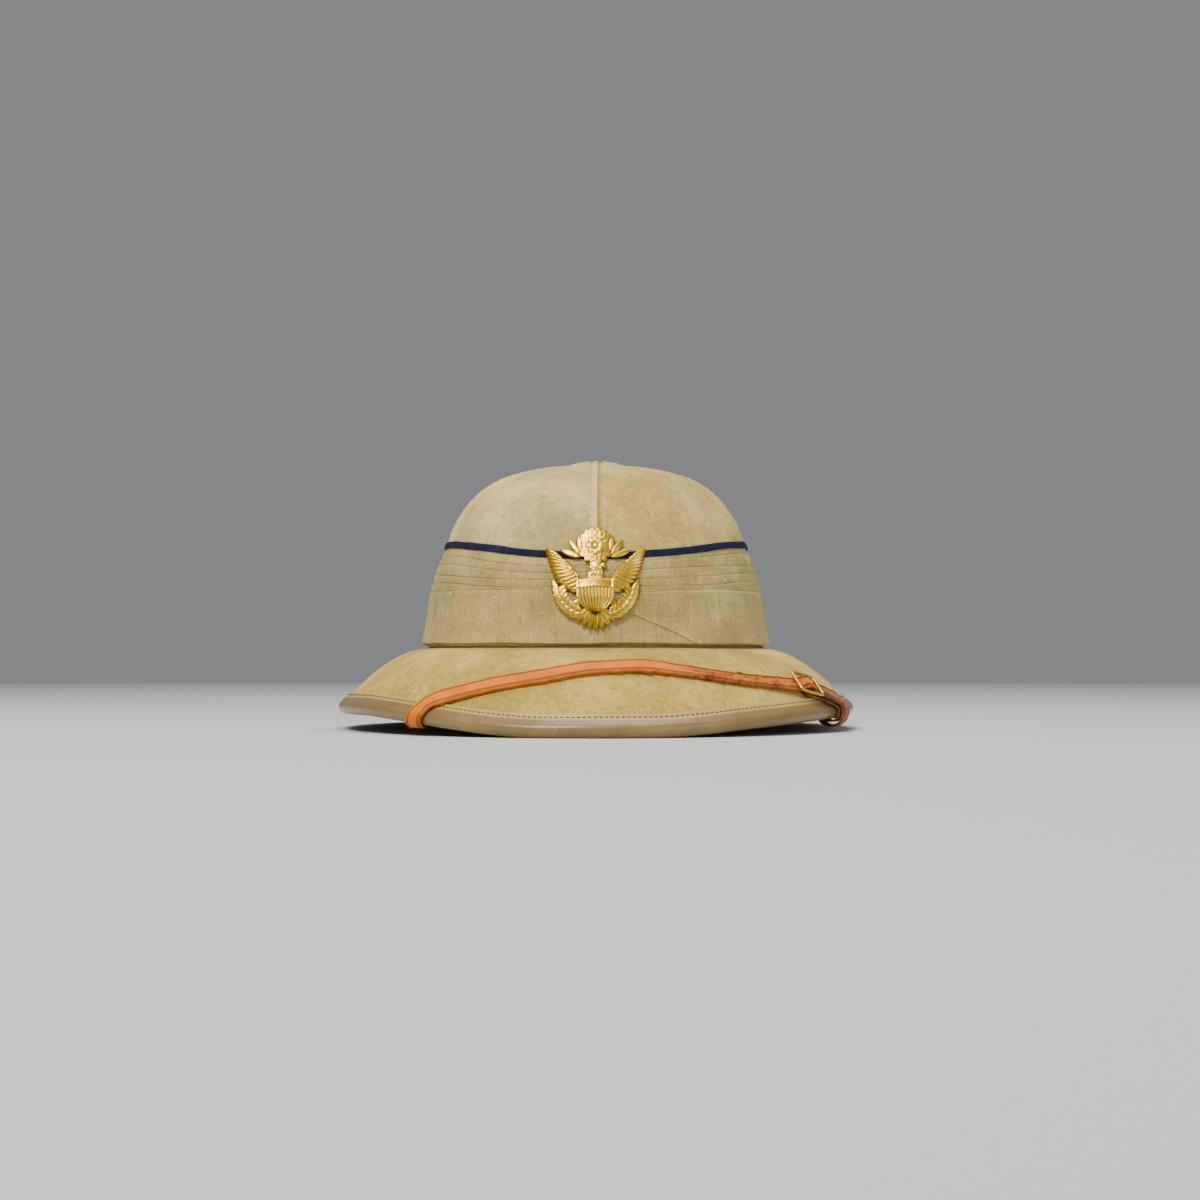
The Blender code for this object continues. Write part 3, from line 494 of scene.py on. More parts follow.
def drill(name, light, deep, seed, marks=(), seams=0.0):
    """Faded drill: two tones in clouds, a fine nap, stains, pale rubs and specks, and a few single marks.

    A mark is a place on the helmet, the direction it runs in, its half length and its half width. The last
    number says how much painted shade goes beside the seams, which lie over the helmet's two middle lines;
    the painted shade stands in for the shadow that the lapped folds throw.
    """
    finish = Finish(name, Sheen_Weight=0.12, Sheen_Roughness=0.5, Specular_IOR_Level=0.12)
    shifted = finish.vector_math("ADD", finish.place, (seed, seed, 0))
    clouds = finish.noise(0.035, shifted, detail=5)
    mottle = finish.noise(0.0032, shifted, detail=4, roughness=0.65)
    nap = finish.noise(0.0009, shifted, detail=4, roughness=0.75)
    tone = (clouds * 2.1 + mottle * 1.3 + nap * 1.5 - 1.95).between(0.0, 1.0)
    colour = finish.blend(deep, light, tone)
    stain = finish.noise(0.022, shifted, detail=7, roughness=0.62, distortion=1.4).between(0.60, 0.74)
    colour = finish.blend(colour, tuple(0.62 * c for c in deep), stain * 0.6)
    rub = finish.noise(0.009, shifted, detail=6, roughness=0.75).between(0.62, 0.78)
    colour = finish.blend(colour, (0.88, 0.78, 0.50), rub * 0.45)
    specks = 1 - finish.cells(0.022, shifted).between(0.014, 0.034)
    colour = finish.blend(colour, (0.90, 0.86, 0.76), specks * 0.8)
    # Painted shade beside the front, back and side seam lines, standing in for the lapped folds' shadow
    lines = finish.split(finish.place)
    away = abs(lines["X"]).between(*SEAM_SHADE_BAND) + abs(lines["Y"] + CROWN_FORWARD).between(*SEAM_SHADE_BAND)
    colour = finish.blend(colour, tuple(0.45 * c for c in deep), (2 - away) * seams)
    for place, way, half_length, half_width in marks:
        apart = finish.vector_math("SUBTRACT", finish.place, place)
        along = finish.vector_math("DOT_PRODUCT", apart, way)["Value"]
        reach = finish.vector_math("LENGTH", apart)["Value"]
        square = reach * reach - along * along
        narrow = 1 - square.math("POWER", square, 0.5).between(0.5 * half_width, half_width)
        short = 1 - abs(along).between(0.7 * half_length, half_length)
        colour = finish.blend(colour, (0.85, 0.78, 0.56), narrow * short * nap.between(0.32, 0.55) * 0.7)
    sides = finish.split(finish.pattern)
    twill = ((sides["X"] + sides["Y"]) * (FULL_TURN / TWILL_PITCH)).sine()
    finish.bump(twill * 0.16 + nap * 1.0 + mottle * 0.6, 0.0005)
    return finish.show(colour, 0.92)


left_cloth = drill("drill_left_gores", (0.90, 0.70, 0.27), (0.54, 0.415, 0.14), 0.0, seams=0.6)
right_cloth = drill("drill_right_gores", (0.86, 0.64, 0.19), (0.50, 0.36, 0.085), 3.7, seams=0.6)
BRIM_MARKS = [((-0.0901, -0.1111, 0.0217), (0.9, -0.3, 0.3), 0.0018, 0.0014),
              ((-0.0643, -0.1103, 0.0358), (0.94, -0.03, 0.34), 0.0070, 0.0007)]
brim_cloth = drill("drill_brim", (0.84, 0.60, 0.14), (0.47, 0.325, 0.05), 7.1, BRIM_MARKS)
seam_cloth = drill("drill_seams", (0.90, 0.71, 0.30), (0.60, 0.46, 0.16), 5.3)


# %% Fine band cotton
def band_cotton():
    """Thin cotton: upright threads, fainter cross threads, clouds, worn ridges and a few pale specks."""
    finish = Finish("band_cotton", Sheen_Weight=0.1, Sheen_Roughness=0.5, Specular_IOR_Level=0.15)
    clouds = finish.noise(0.028, detail=5, roughness=0.6)
    upright, level = (finish.noise(0.0012, finish.stretched(finish.pattern, scale), detail=4, roughness=0.75)
                      for scale in ((1.0, 0.06, 1.0), (0.05, 1.0, 1.0)))
    flecks = finish.noise(0.0013, detail=4, roughness=0.75)
    tone = (clouds * 1.2 + upright * 0.8 + level * 0.35 + flecks * 0.9 - 1.15).between(0.0, 1.0)
    colour = finish.blend((0.33, 0.245, 0.065), (0.74, 0.575, 0.215), tone)
    worn = finish.noise(0.012, finish.stretched(finish.place, (1, 1, 2.5)), detail=6, roughness=0.72)
    colour = finish.blend(colour, (0.86, 0.71, 0.38), worn.between(0.58, 0.76) * 0.5)
    specks = 1 - finish.cells(0.026).between(0.016, 0.036)
    colour = finish.blend(colour, (0.95, 0.90, 0.78), specks * 0.9)
    finish.bump(upright * 1.0 + level * 0.5 + flecks * 0.9, 0.00045)
    return finish.show(colour, 0.9)


band_cloth = band_cotton()


# %% Navy ribbon
CORD_PITCH = 0.0008


def navy_cotton():
    """Corded cotton ribbon, nearly black, with faded threads."""
    finish = Finish("navy_cotton", Specular_IOR_Level=0.15)
    cords = (finish.split(finish.pattern)["X"] * (FULL_TURN / CORD_PITCH)).sine()
    fade = finish.noise(0.004, detail=5, roughness=0.7).between(0.45, 0.8)
    colour = finish.blend((0.012, 0.014, 0.050), (0.045, 0.047, 0.115), fade)
    finish.bump(cords * 0.5 + fade, 0.0003)
    return finish.show(colour, 0.75)


ribbon_cotton = navy_cotton()

# %% [markdown]
# ## Oilcloth, leather, pith and brass
#
# The binding is a satin oilcloth, smoother than the drill, with handling marks. The strap is orange-tan
# leather whose tooled lines and edges have gone dark, and its far half is drier and browner. The shell's
# inside is bare moulded pith. The badge is gilt; its ridges are kept bright as a painted highlight, and its
# hollows are darker with soiling and painted shade. The buckle is plain brass.

# %% Oilcloth
def binding_oilcloth():
    """Satin cloth: soft streaks along the edge, scuffs and dull patches. Its upper lap is khaki."""
    finish = Finish("binding_oilcloth", Specular_IOR_Level=0.45, Coat_Weight=0.22, Coat_Roughness=0.14)
    streaks = finish.noise(0.01, finish.stretched(finish.pattern, (0.12, 1.0, 1.0)), detail=5)
    patches = finish.noise(0.018, detail=5, roughness=0.65)
    grain = finish.noise(0.0008, detail=3)
    tone = (streaks * 0.8 + patches * 0.8 - 0.3).between(0.0, 1.0)
    colour = finish.blend((0.16, 0.10, 0.028), (0.34, 0.225, 0.07), tone)
    lap = 1 - finish.split(finish.pattern)["Y"].between(0.0034, 0.0052)
    colour = finish.blend(colour, finish.blend((0.44, 0.31, 0.075), (0.66, 0.48, 0.15), tone), lap)
    scuffs = finish.noise(0.007, detail=7, roughness=0.75).between(0.62, 0.74)
    colour = finish.blend(colour, (0.50, 0.39, 0.19), scuffs * 0.5)
    finish.bump(grain * 0.5 + patches * 0.6, 0.0004)
    return finish.show(colour, 0.22 + patches * 0.20 + lap * 0.3)


rim_cloth = binding_oilcloth()


# %% Strap leather
TOOLED_LINE = 0.0036
DRY_HALF = 0.034
PAST_BUCKLE = 0.110


def strap_leather(name, dry_from):
    """Smooth side of leather. The pattern's first length runs across the strap, from its middle.

    Beyond a place along X the leather is dry: browner, with more cracks and dark edges. Past the buckle it
    is duller still, a pinkish brown.
    """
    finish = Finish(name, Specular_IOR_Level=0.14)
    where = finish.split(finish.place)["X"]
    from_middle = abs(finish.split(finish.pattern)["X"])
    patches = finish.noise(0.012, detail=6, roughness=0.65)
    dry = (where + (patches - 0.5) * 0.03).between(dry_from, dry_from + 0.02)
    lines = 1 - abs(from_middle - TOOLED_LINE).between(0.0002, 0.0007)
    edges = from_middle.between(0.0041, 0.0053)
    grain = finish.noise(0.0011, detail=4, roughness=0.6)
    pores = finish.cells(0.0009)
    tone = (patches * 2.0 + grain * 0.8 - 0.9).between(0.0, 1.0)
    fresh = finish.blend((0.74, 0.155, 0.006), (1.0, 0.27, 0.008), tone)
    aged = finish.blend((0.34, 0.085, 0.014), (0.92, 0.28, 0.042), tone)
    dull = finish.blend((0.22, 0.072, 0.032), (0.58, 0.235, 0.115), tone)
    colour = finish.blend(fresh, aged, dry)
    colour = finish.blend(colour, dull, where.between(PAST_BUCKLE, PAST_BUCKLE + 0.004))
    cracks = finish.noise(0.004, finish.stretched(finish.pattern, (2.2, 0.6, 1.0)), detail=7, roughness=0.75)
    worn = (cracks + dry * 0.10).between(0.60, 0.80)
    dark = (lines * 0.7 + edges * 0.7 + worn * 0.55).between(0.0, 1.15)
    colour = finish.blend(colour, (0.06, 0.018, 0.008), dark * 0.85)
    finish.bump(pores * 0.35 + grain * 0.7 + patches * 0.5 - worn * 0.9, 0.0006)
    return finish.show(colour, 0.42 + worn * 0.3 + dry * 0.12)


fresh_leather = strap_leather("tan_leather", DRY_HALF)
dry_leather = strap_leather("worn_leather", -1.0)


# %% Pith, thread and metals
def bare_pith():
    """Moulded pith: pale, fibrous and slightly lumpy."""
    finish = Finish("moulded_pith", Specular_IOR_Level=0.15)
    lumps = finish.noise(0.006, detail=5, roughness=0.6)
    fibres = finish.noise(0.0012, finish.stretched(finish.place, (1, 1, 0.3)), detail=4)
    tone = (lumps + fibres * 0.6 - 0.3).between(0.0, 1.0)
    colour = finish.blend((0.27, 0.215, 0.12), (0.50, 0.43, 0.28), tone)
    finish.bump(lumps + fibres * 0.5, 0.0006)
    return finish.show(colour, 0.93)


def thread(name, colour):
    """Sewing thread, darker in its twist."""
    finish = Finish(name, Specular_IOR_Level=0.3)
    fuzz = finish.noise(0.0005, detail=2)
    finish.bump(fuzz, 0.0001)
    return finish.show(finish.blend(tuple(0.6 * c for c in colour), colour, fuzz), 0.7)


def metal(name, bright, tarnish, smooth, grime_and_shade):
    """Metal with cloudy tarnish. Its ridges keep the bright colour as a painted highlight, and its hollows go
    dark with soiling and painted shade together.

    The pattern's first number is the relief, from 0 in a hollow to 1 on a ridge.
    """
    finish = Finish(name)
    relief = finish.split(finish.pattern)["X"]
    clouds = finish.noise(0.007, detail=5, roughness=0.65)
    dust = finish.noise(0.0015, detail=4, roughness=0.7)
    # Less tarnish on the ridges: a painted highlight
    colour = finish.blend(bright, tarnish, (clouds + dust * 0.5 - relief * 0.5).between(0.0, 0.6))
    # Dark hollows: soiling and painted shade together
    hollow = 1 - (relief + (dust - 0.5) * 0.3).between(0.05, 0.55)
    dirt_and_shade = (dust.between(0.62, 0.80) * 0.6 + hollow).between(0.0, 1.0) * grime_and_shade
    colour = finish.blend(colour, tuple(0.16 * c for c in tarnish), dirt_and_shade)
    finish.bump(dust, 0.00012)
    return finish.show(colour, smooth + clouds * 0.2 + dirt_and_shade * 0.2, 1 - dirt_and_shade * 0.5)


pith_inside = bare_pith()
brown_thread = thread("brown_thread", (0.17, 0.085, 0.035))
khaki_thread = thread("khaki_thread", (0.42, 0.37, 0.22))
# The gilt badge gets strong painted shade in its hollows, besides soiling
gilt_brass = metal("gilt", (1.0, 0.72, 0.085), (0.60, 0.31, 0.015), 0.22, 0.94)
plain_brass = metal("brass", (0.92, 0.66, 0.12), (0.46, 0.29, 0.04), 0.22, 0.6)

# %% [markdown]
# ## Shell
#
# The moulded shell carries everything. Its inside is bare, from the top of the hollow to the brim's edge.
# Its section is one closed line, over the outside and back along the inside, turned round the helmet.

# %% Shell
SHELL_EDGE_INSET = 0.0018
PITH_LUMPS = 0.00025
ring = np.linspace(0, FULL_TURN, 360, endpoint=False)


def around_pattern(run, count, reach):
    """Flat pattern of a piece that goes round: its angle times a mean reach, and its own run down."""
    turn = np.linspace(0, FULL_TURN, count + 1) * reach
    return together(turn, np.asarray(run)[:, None])


def body_rows(depth):
    """Rows of the helmet a depth below its cloth: the crown from the top, then the brim to the binding."""
    crown = crown_surface(ring, np.linspace(0, 0.985, 42)[:, None], -depth)
    brim, _ = brim_surface(ring, np.linspace(0.04, 0.93, 20)[:, None] + 0 * ring, -depth)
    return np.concatenate([crown, brim, edge_point(ring, SHELL_EDGE_INSET, depth)[None]])


outside, inside = body_rows(CLOTH + GAP), body_rows(STACK)
inside += (PITH_LUMPS * ripple(inside, 0.02, 5))[..., None] * np.array([1.0, 1.0, 0.0])
pattern = around_pattern(np.arange(len(outside)) * 0.003, len(ring), 0.12)
make_piece("shell_inside", slab(outside, inside, pattern, around=True), pith_inside, ["shell"],
           merge=True)

# %% [markdown]
# ## Gores and seams
#
# Four gores are sewn into a cap and stretched over the shell. Each is a quarter of the crown. Along the seams
# the left-hand gore is folded under and laps over its neighbour, so the fold stands up and throws a shadow.


def gore(quarter):
    """A quarter turn of the crown, with shallow dents. Its pattern starts at the gore's middle line."""
    angles = (quarter + np.linspace(0, 1, 85)) * math.pi / 2
    shares = np.linspace(0, 1, 105)[:, None]
    bare = crown_surface(angles, shares)
    dents = 0.0002 * ripple(bare, 0.035, 11) + 0.00006 * ripple(bare, 0.009, 12)
    lift = dents * ease(shares * 12) - 0.0004 * ease((shares - 0.97) / 0.03)
    radius = crown_section(shares)[0] * (CROWN_WIDTH + CROWN_LENGTH) / 4
    flat = together((angles - angles.mean()) * radius, shares * SECTION_LENGTH)
    return slab(crown_surface(angles, shares, lift), crown_surface(angles, shares, -CLOTH), flat)


for quarter, where in enumerate(("front_right", "back_right", "back_left", "front_left")):
    cloth = right_cloth if "right" in where else left_cloth
    nodes = ["crown_panel_" + where]
    piece = make_piece("gore_" + where, gore(quarter), cloth, nodes, merge=True)

# %% Lapped seams
PUCKER_PITCH = 0.0033
PUCKER_SHARE = 0.08
SIDE_SEAM_START = 0.0038

# Seam's section: distance from its line, lift above the gores
SEAM_ROWS = [
    (-0.0036, -0.00030), (-0.0033, 0.00002), (-0.0030, 0.00014), (-0.0027, 0.00002), (-0.0024, 0.00018),
    (-0.0012, 0.00040), (0.0000, 0.00078), (0.0006, 0.00102), (0.0009, 0.00092), (0.0011, 0.00050),
    (0.0011, -0.00030),
]


def seam(start, end, along_y):
    """The seam's section carried over the crown between two places, closed underneath.

    The front seam runs along Y and the side seams along X.
    """
    across, lift = np.array(SEAM_ROWS).T
    across = np.concatenate([across, across[[-1, 0]]])
    lift = np.concatenate([lift, [-0.0006, -0.0006]])
    stations = np.linspace(start, end, 340)[:, None]
    wobble = 0.00018 * np.sin(stations / 0.011) + 0.0001 * np.sin(stations / 0.0047 + 1)
    if along_y:
        x, y = across + wobble, stations - CROWN_FORWARD
    else:
        x, y = stations, across + wobble - CROWN_FORWARD
    puckers = 1 + PUCKER_SHARE * np.sin(stations * FULL_TURN / PUCKER_PITCH)
    rings = crown_over(x, y, np.where(lift > 0, lift * puckers, lift))
    flat = together(np.linspace(0, 0.006, len(across) + 1), stations)
    return rod(rings if along_y else rings[:, ::-1], flat)


RIBBON_HEIGHT = 0.0985
RIBBON_DIP = 0.0090
RIBBON_DIP_SPAN = math.radians(78)
RIBBON_WIDTH = 0.0036


def ribbon_line(angles):
    """Height of the ribbon's middle, with a raised cosine dip towards the front."""
    dip = (1 + np.cos(math.pi * np.clip(np.abs(from_front(angles)) / RIBBON_DIP_SPAN, 0, 1))) / 2
    return RIBBON_HEIGHT - RIBBON_DIP * dip


def seam_end(angle, width):
    """Distance from the crown's middle to the ribbon's upper edge, where a seam goes under it."""
    height = ribbon_line(np.array(angle)) + 0.4 * RIBBON_WIDTH
    return width / 2 * float(crown_section(share_at_height(height))[0])


front_end = -seam_end(0.0, CROWN_LENGTH)
back_end = seam_end(math.pi, CROWN_LENGTH)
side_end = seam_end(math.pi / 2, CROWN_WIDTH)
for name, start, end, along_y in (("front_back", front_end, back_end, True),
                                  ("side_left", -side_end, -SIDE_SEAM_START, False),
                                  ("side_right", SIDE_SEAM_START, side_end, False)):
    surface = seam(start, end, along_y)
    make_piece("seam_fold_" + name, surface, seam_cloth, ["seam_" + name], merge=True)


# %% Stitches
STITCH_INSET = 0.0027
STITCH_PITCH = 0.0025
STITCH_SIZE = (0.0017, 0.00019, 0.00012)
STITCH_LIFT = 0.00018
SIDE_STITCH_START = 0.0045


def stitches(middles, runs, outs, size):
    """Short arched threads, one at each middle, of a length, a thickness and a height of their arch."""
    length, radius, height = size
    along = np.linspace(-1, 1, 6)
    turn = np.linspace(0, FULL_TURN, 6, endpoint=False)
    sides = np.cross(outs, runs)
    line = middles[:, None] + runs[:, None] * (along * length / 2)[:, None]
    line = line + outs[:, None] * (height * (1 - 1.6 * along ** 2))[:, None]
    girth = radius * np.sqrt(1 - 0.85 * along ** 2)[None, :, None, None]
    circle = sides[:, None, None] * np.cos(turn)[:, None] + outs[:, None, None] * np.sin(turn)[:, None]
    flat = np.zeros((len(along), len(turn) + 1, 2))
    return join([rod(rings, flat) for rings in line[:, :, None] + girth * circle])


def seam_stitches(start, end, along_y):
    """Stitches beside the fold of a seam, from one place to the other."""
    run = np.arange(start, end, STITCH_PITCH)
    aside = np.full_like(run, -STITCH_INSET)
    x, y = (aside, run) if along_y else (run, aside)
    lift = np.full_like(run, STITCH_LIFT)
    middles = crown_over(x, y - CROWN_FORWARD, lift)
    runs = unit(np.gradient(middles, axis=0))
    outs = unit(crown_over(x, y - CROWN_FORWARD, lift + 0.001) - middles)
    return stitches(middles, runs, outs, STITCH_SIZE)


rows = [seam_stitches(front_end, back_end, True), seam_stitches(-side_end, -SIDE_STITCH_START, False),
        seam_stitches(SIDE_STITCH_START, side_end, False)]
make_piece("seam_stitches", join(rows), khaki_thread, [], merge=True)

# %% [markdown]
# ## Brim
#
# The brim's cloth is cut as a ring and stretched from the crown's foot to the edge. Seen close it isn't quite
# even: shallow dents and a few ripples run out from the crown.

# %% Brim cloth
brim_ring = np.linspace(0, FULL_TURN, 560, endpoint=False)
brim_shares = np.linspace(0.0, 0.955, 56)[:, None] + 0 * brim_ring
bare, _ = brim_surface(brim_ring, brim_shares)
dents = 0.00022 * ripple(bare, 0.04, 21) + 0.00007 * ripple(bare, 0.011, 22)
front, _ = brim_surface(brim_ring, brim_shares, dents * ease(brim_shares * 6))
back, _ = brim_surface(brim_ring, brim_shares, -CLOTH)
flat = around_pattern(run_along(front[:, 0]), len(brim_ring), 0.12)
surface = slab(front, back, flat, around=True)
piece = make_piece("brim_cloth", surface, brim_cloth, ["brim_cover"])

# %% [markdown]
# ## Cloth band
#
# The band is one long cotton scarf. Its upper part is folded into narrow pleats under a navy ribbon, and its
# lower part lies as one broad fold, whose end laps over the front at a slant. Real pleats are never straight,
# so their creases wander and come and go.

# %% Pleats
RIBBON_THICKNESS = 0.0010
FOLD_TOP = 0.0720
BAND_FOOT = 0.0015
PLEAT_COUNT = 5
PLEAT_TOP_LIFT = 0.0013
PLEAT_STEP = 0.00045
FOLD_LIFT = 0.0034
BAND_REACH = 0.1
BAND_BACK = 0.0002
band_ring = np.linspace(0, FULL_TURN, 600, endpoint=False)


def fold_line(angles):
    """Height of the broad fold's upper edge, which sinks behind the badge and rises to the sides."""
    return FOLD_TOP + 0.0010 - 0.0024 * np.exp(-((from_front(angles) - 0.05) / 0.5) ** 2)


# One pleat's section: share of its depth, lift above its own level
PLEAT_ROWS = [
    (0.000, -0.00060), (0.018, -0.00010), (0.050, 0.00012), (0.120, 0.00018), (0.250, 0.00010),
    (0.500, -0.00005), (0.750, -0.00018), (0.860, -0.00030), (0.930, -0.00050), (0.982, -0.00085),
    (0.999, -0.00100),
]


def pleat_grid():
    """Rows that follow the creases: each crease line wanders on its own, and the rows between share it out.

    Left of the badge all the creases slant a little. The uppermost pleat is tucked under the ribbon.
    """
    depth, relief = np.array(PLEAT_ROWS).T
    places = np.concatenate([depth + pleat for pleat in range(PLEAT_COUNT)])
    relief = np.tile(relief, PLEAT_COUNT)
    level = np.floor(places) * PLEAT_STEP
    guide = round_guide(band_ring)
    edge = [0 * band_ring]
    wander = 0.30 * np.array(edge + [ripple(guide, 0.11, 30 + k) for k in range(1, PLEAT_COUNT)] + edge)
    fade = 0.62 + 0.38 * np.array([ripple(guide, 0.06, 40 + k) for k in range(PLEAT_COUNT)])
    pleat = np.floor(places).astype(int)
    part = (places - pleat)[:, None]
    slant = 0.45 * np.exp(-((from_front(band_ring) + 0.45) / 0.42) ** 2)
    slant = slant * np.sin(math.pi * places / PLEAT_COUNT)[:, None]
    line = places[:, None] + wander[pleat] * (1 - part) + wander[pleat + 1] * part + slant
    top = ribbon_line(band_ring) - 0.42 * RIBBON_WIDTH
    foot = fold_line(band_ring) - 0.0006
    heights = top + (foot - top) * np.clip(line / PLEAT_COUNT, 0, 1)
    lift = PLEAT_TOP_LIFT + level[:, None] + relief[:, None] * np.clip(fade[pleat], 0.25, 1.1)
    bare = wall_surface(band_ring, heights, 0 * heights)
    sway = 0.00022 * ripple(bare, 0.016, 51, (1, 1, 2.2)) + 0.0001 * ripple(bare, 0.005, 52, (1, 1, 2.5))
    tucked = ease(places / 0.8)[:, None]
    return heights, lift * (0.55 + 0.45 * tucked) + sway * tucked


def band_slab(angles, heights, lift, run):
    """Cloth of the band all round, from its outer side to just off the crown."""
    front = wall_surface(angles, heights, lift)
    back = wall_surface(angles, heights, BAND_BACK)
    return slab(front, back, around_pattern(run, len(angles), BAND_REACH), around=True)


heights, lift = pleat_grid()
surface = band_slab(band_ring, heights, lift, np.linspace(0, 0.045, len(heights)))
pleats = make_piece("band_pleats", surface, band_cloth, ["pleated_band"], sharp=60)

# %% Broad fold
# Fold's section: share of its height from the top, lift as a share of FOLD_LIFT
FOLD_ROWS = [
    (0.000, 0.55), (0.012, 0.90), (0.035, 1.02), (0.080, 1.03), (0.200, 0.96), (0.500, 0.87), (0.800, 1.00),
    (0.930, 1.10), (0.975, 1.15), (0.992, 1.14), (1.000, 0.80),
]


def fold_places(angles, shares):
    """Heights and lifts of the broad fold, with upright wrinkles that are strongest in its middle."""
    foot = JUNCTION_HEIGHT + BAND_FOOT + 0.0005 * ripple(round_guide(angles, 1.0), 0.5, 61)
    top = fold_line(angles)
    heights = top + (foot - top) * shares
    lift = FOLD_LIFT * np.interp(shares, *np.array(FOLD_ROWS).T) + 0 * angles
    bare = wall_surface(angles, heights, 0 * heights)
    wrinkles = 0.00020 * ripple(bare, 0.007, 62, (1.0, 1.0, 0.12), 24) + 0.00025 * ripple(bare, 0.03, 63)
    creases = 0.00012 * ripple(bare, 0.006, 64, (0.25, 0.25, 1.0), 24)
    return heights, lift + (wrinkles + creases) * (0.35 + 0.65 * np.sin(math.pi * shares))


shares = [np.linspace(0, 0.1, 9), np.linspace(0.1, 0.9, 28), np.linspace(0.9, 0.992, 8), [1.0]]
shares = np.unique(np.concatenate(shares))
heights, lift = fold_places(band_ring[None, :], shares[:, None])
surface = band_slab(band_ring, heights, lift, shares * (FOLD_TOP - JUNCTION_HEIGHT))
fold = make_piece("band_broad_fold", surface, band_cloth, ["band_fold"])

# %% Lapped end
LAP_TOP_ANGLE = math.radians(-6)
LAP_FOOT_ANGLE = math.radians(31)
LAP_END_ANGLE = math.radians(74)
LAP_CLOTH = 0.0008
LAP_ROLL = 0.0012
LAP_SINK = 0.35


def lapped_end():
    """The fold's surface again, a cloth higher, from the slanted edge to where it sinks into the fold."""
    shares = np.linspace(0.0, 1.0, 60)[:, None]
    across = np.linspace(0, 1, 160)[None, :] ** 1.2
    start = LAP_TOP_ANGLE + (LAP_FOOT_ANGLE - LAP_TOP_ANGLE) * shares ** 0.9 + 0.010 * np.sin(shares * 9)
    angles = start + (LAP_END_ANGLE - start) * across
    heights, lift = fold_places(angles, shares + 0 * angles)
    from_edge = (angles - start) * (CROWN_WIDTH / 2)
    roll = ease(from_edge / LAP_ROLL) * (1 - ease((angles - LAP_END_ANGLE + LAP_SINK) / LAP_SINK))
    edge_rise = 0.0002 * np.exp(-(from_edge / 0.004) ** 2)
    front = wall_surface(angles, heights, lift - 0.0003 + (LAP_CLOTH + edge_rise) * roll)
    back = wall_surface(angles, heights, lift - 0.0008)
    return slab(front, back, together(angles * BAND_REACH, shares * 0.028))


lap = make_piece("band_lapped_end", lapped_end(), band_cloth, ["band_end"])


# %% Ribbon
RIBBON_SIDES = 16
RIBBON_CORNER = 3


def rounded(turn, corner):
    """Cosine and sine raised to a root, which swells a circle towards a square as the corner grows."""
    wave = np.stack([np.cos(turn), np.sin(turn)])
    return np.sign(wave) * np.abs(wave) ** (2 / corner)


def ribbon_band():
    """A flat tape with soft edges round the crown. Its height follows the dip with a slight waver."""
    deep, tall = rounded(np.linspace(0, FULL_TURN, RIBBON_SIDES, endpoint=False)[:, None], RIBBON_CORNER)
    guide = round_guide(band_ring)
    line = ribbon_line(band_ring) + 0.00016 * ripple(guide, 0.03, 71)
    width = RIBBON_WIDTH * (1 + 0.06 * ripple(guide, 0.015, 72))
    heights = line + tall * width / 2
    middle = GAP + 0.0009 + 0.00006 * ripple(guide, 0.01, 73)
    points = wall_surface(band_ring, heights, middle + deep * RIBBON_THICKNESS / 2)
    flat = around_pattern(np.linspace(0, 0.01, RIBBON_SIDES + 1), len(band_ring), BAND_REACH)
    return skin(points, flat, around=True, closed=True)


make_piece("navy_ribbon", ribbon_band(), ribbon_cotton, ["ribbon"])

# %% [markdown]
# ## Bound edge
#
# A strip of oilcloth is sewn to the top of the brim, rolled over a cord and sewn down underneath. Its section
# is a flat lap, a round rim and a lap under the brim, carried round the edge. The brown stitches sit just
# inside the upper lap's edge.

# %% Binding
BINDING_TOP = 0.0075
BINDING_UNDER = 0.006
BINDING_THICKNESS = 0.0006
BINDING_STITCH_PITCH = 0.0027
BINDING_STITCH_SIZE = (BINDING_STITCH_PITCH * 0.72, 0.00026, 0.00020)
BINDING_STITCH_INSET = 0.0057


def binding_section():
    """Section as distances down the brim and above its middle plane: upper lap, rim, lower lap and back."""
    outer, inner = STACK / 2 + GAP + BINDING_THICKNESS, STACK / 2 + GAP * 0.5
    lap = [(-BINDING_TOP, inner), (-BINDING_TOP - 0.0001, outer * 0.93), (-BINDING_TOP + 0.0003, outer),
           (-0.0064, outer - 0.0001), (-BINDING_STITCH_INSET, outer - 0.0003), (-0.0050, outer - 0.0001),
           (-0.0042, outer + 0.0002)]
    turn = np.radians(np.linspace(108, -126, 30))
    rim = np.stack([np.cos(turn), np.sin(turn)], -1) * RIM_RADIUS
    under = [(-BINDING_UNDER, -outer - 0.0004), (-BINDING_UNDER, -inner - 0.0002)]
    return np.concatenate([lap, rim, under])


def binding():
    """That section round the edge, its rim a little dented and no lower than the ground."""
    section = binding_section()
    centre, down_slope, normal, _ = edge_frame(brim_ring)
    dents = 1 + 0.012 * ripple(centre, 0.02, 81) + 0.008 * ripple(centre, 0.006, 82)
    on_rim = np.abs(np.linalg.norm(section, axis=1) - RIM_RADIUS) < 1e-6
    inflate = np.where(on_rim[:, None], np.minimum(dents, 1.0), 1.0)
    along, above = (section[:, side, None] * inflate for side in range(2))
    points = centre + down_slope * along[..., None] + normal * above[..., None]
    points[..., 2] = np.maximum(points[..., 2], 0)
    run = np.append(run_along(section), 0.04)
    return skin(points, around_pattern(run, len(brim_ring), 0.15), around=True, closed=True)


make_piece("rolled_binding", binding(), rim_cloth, ["edge_binding"])


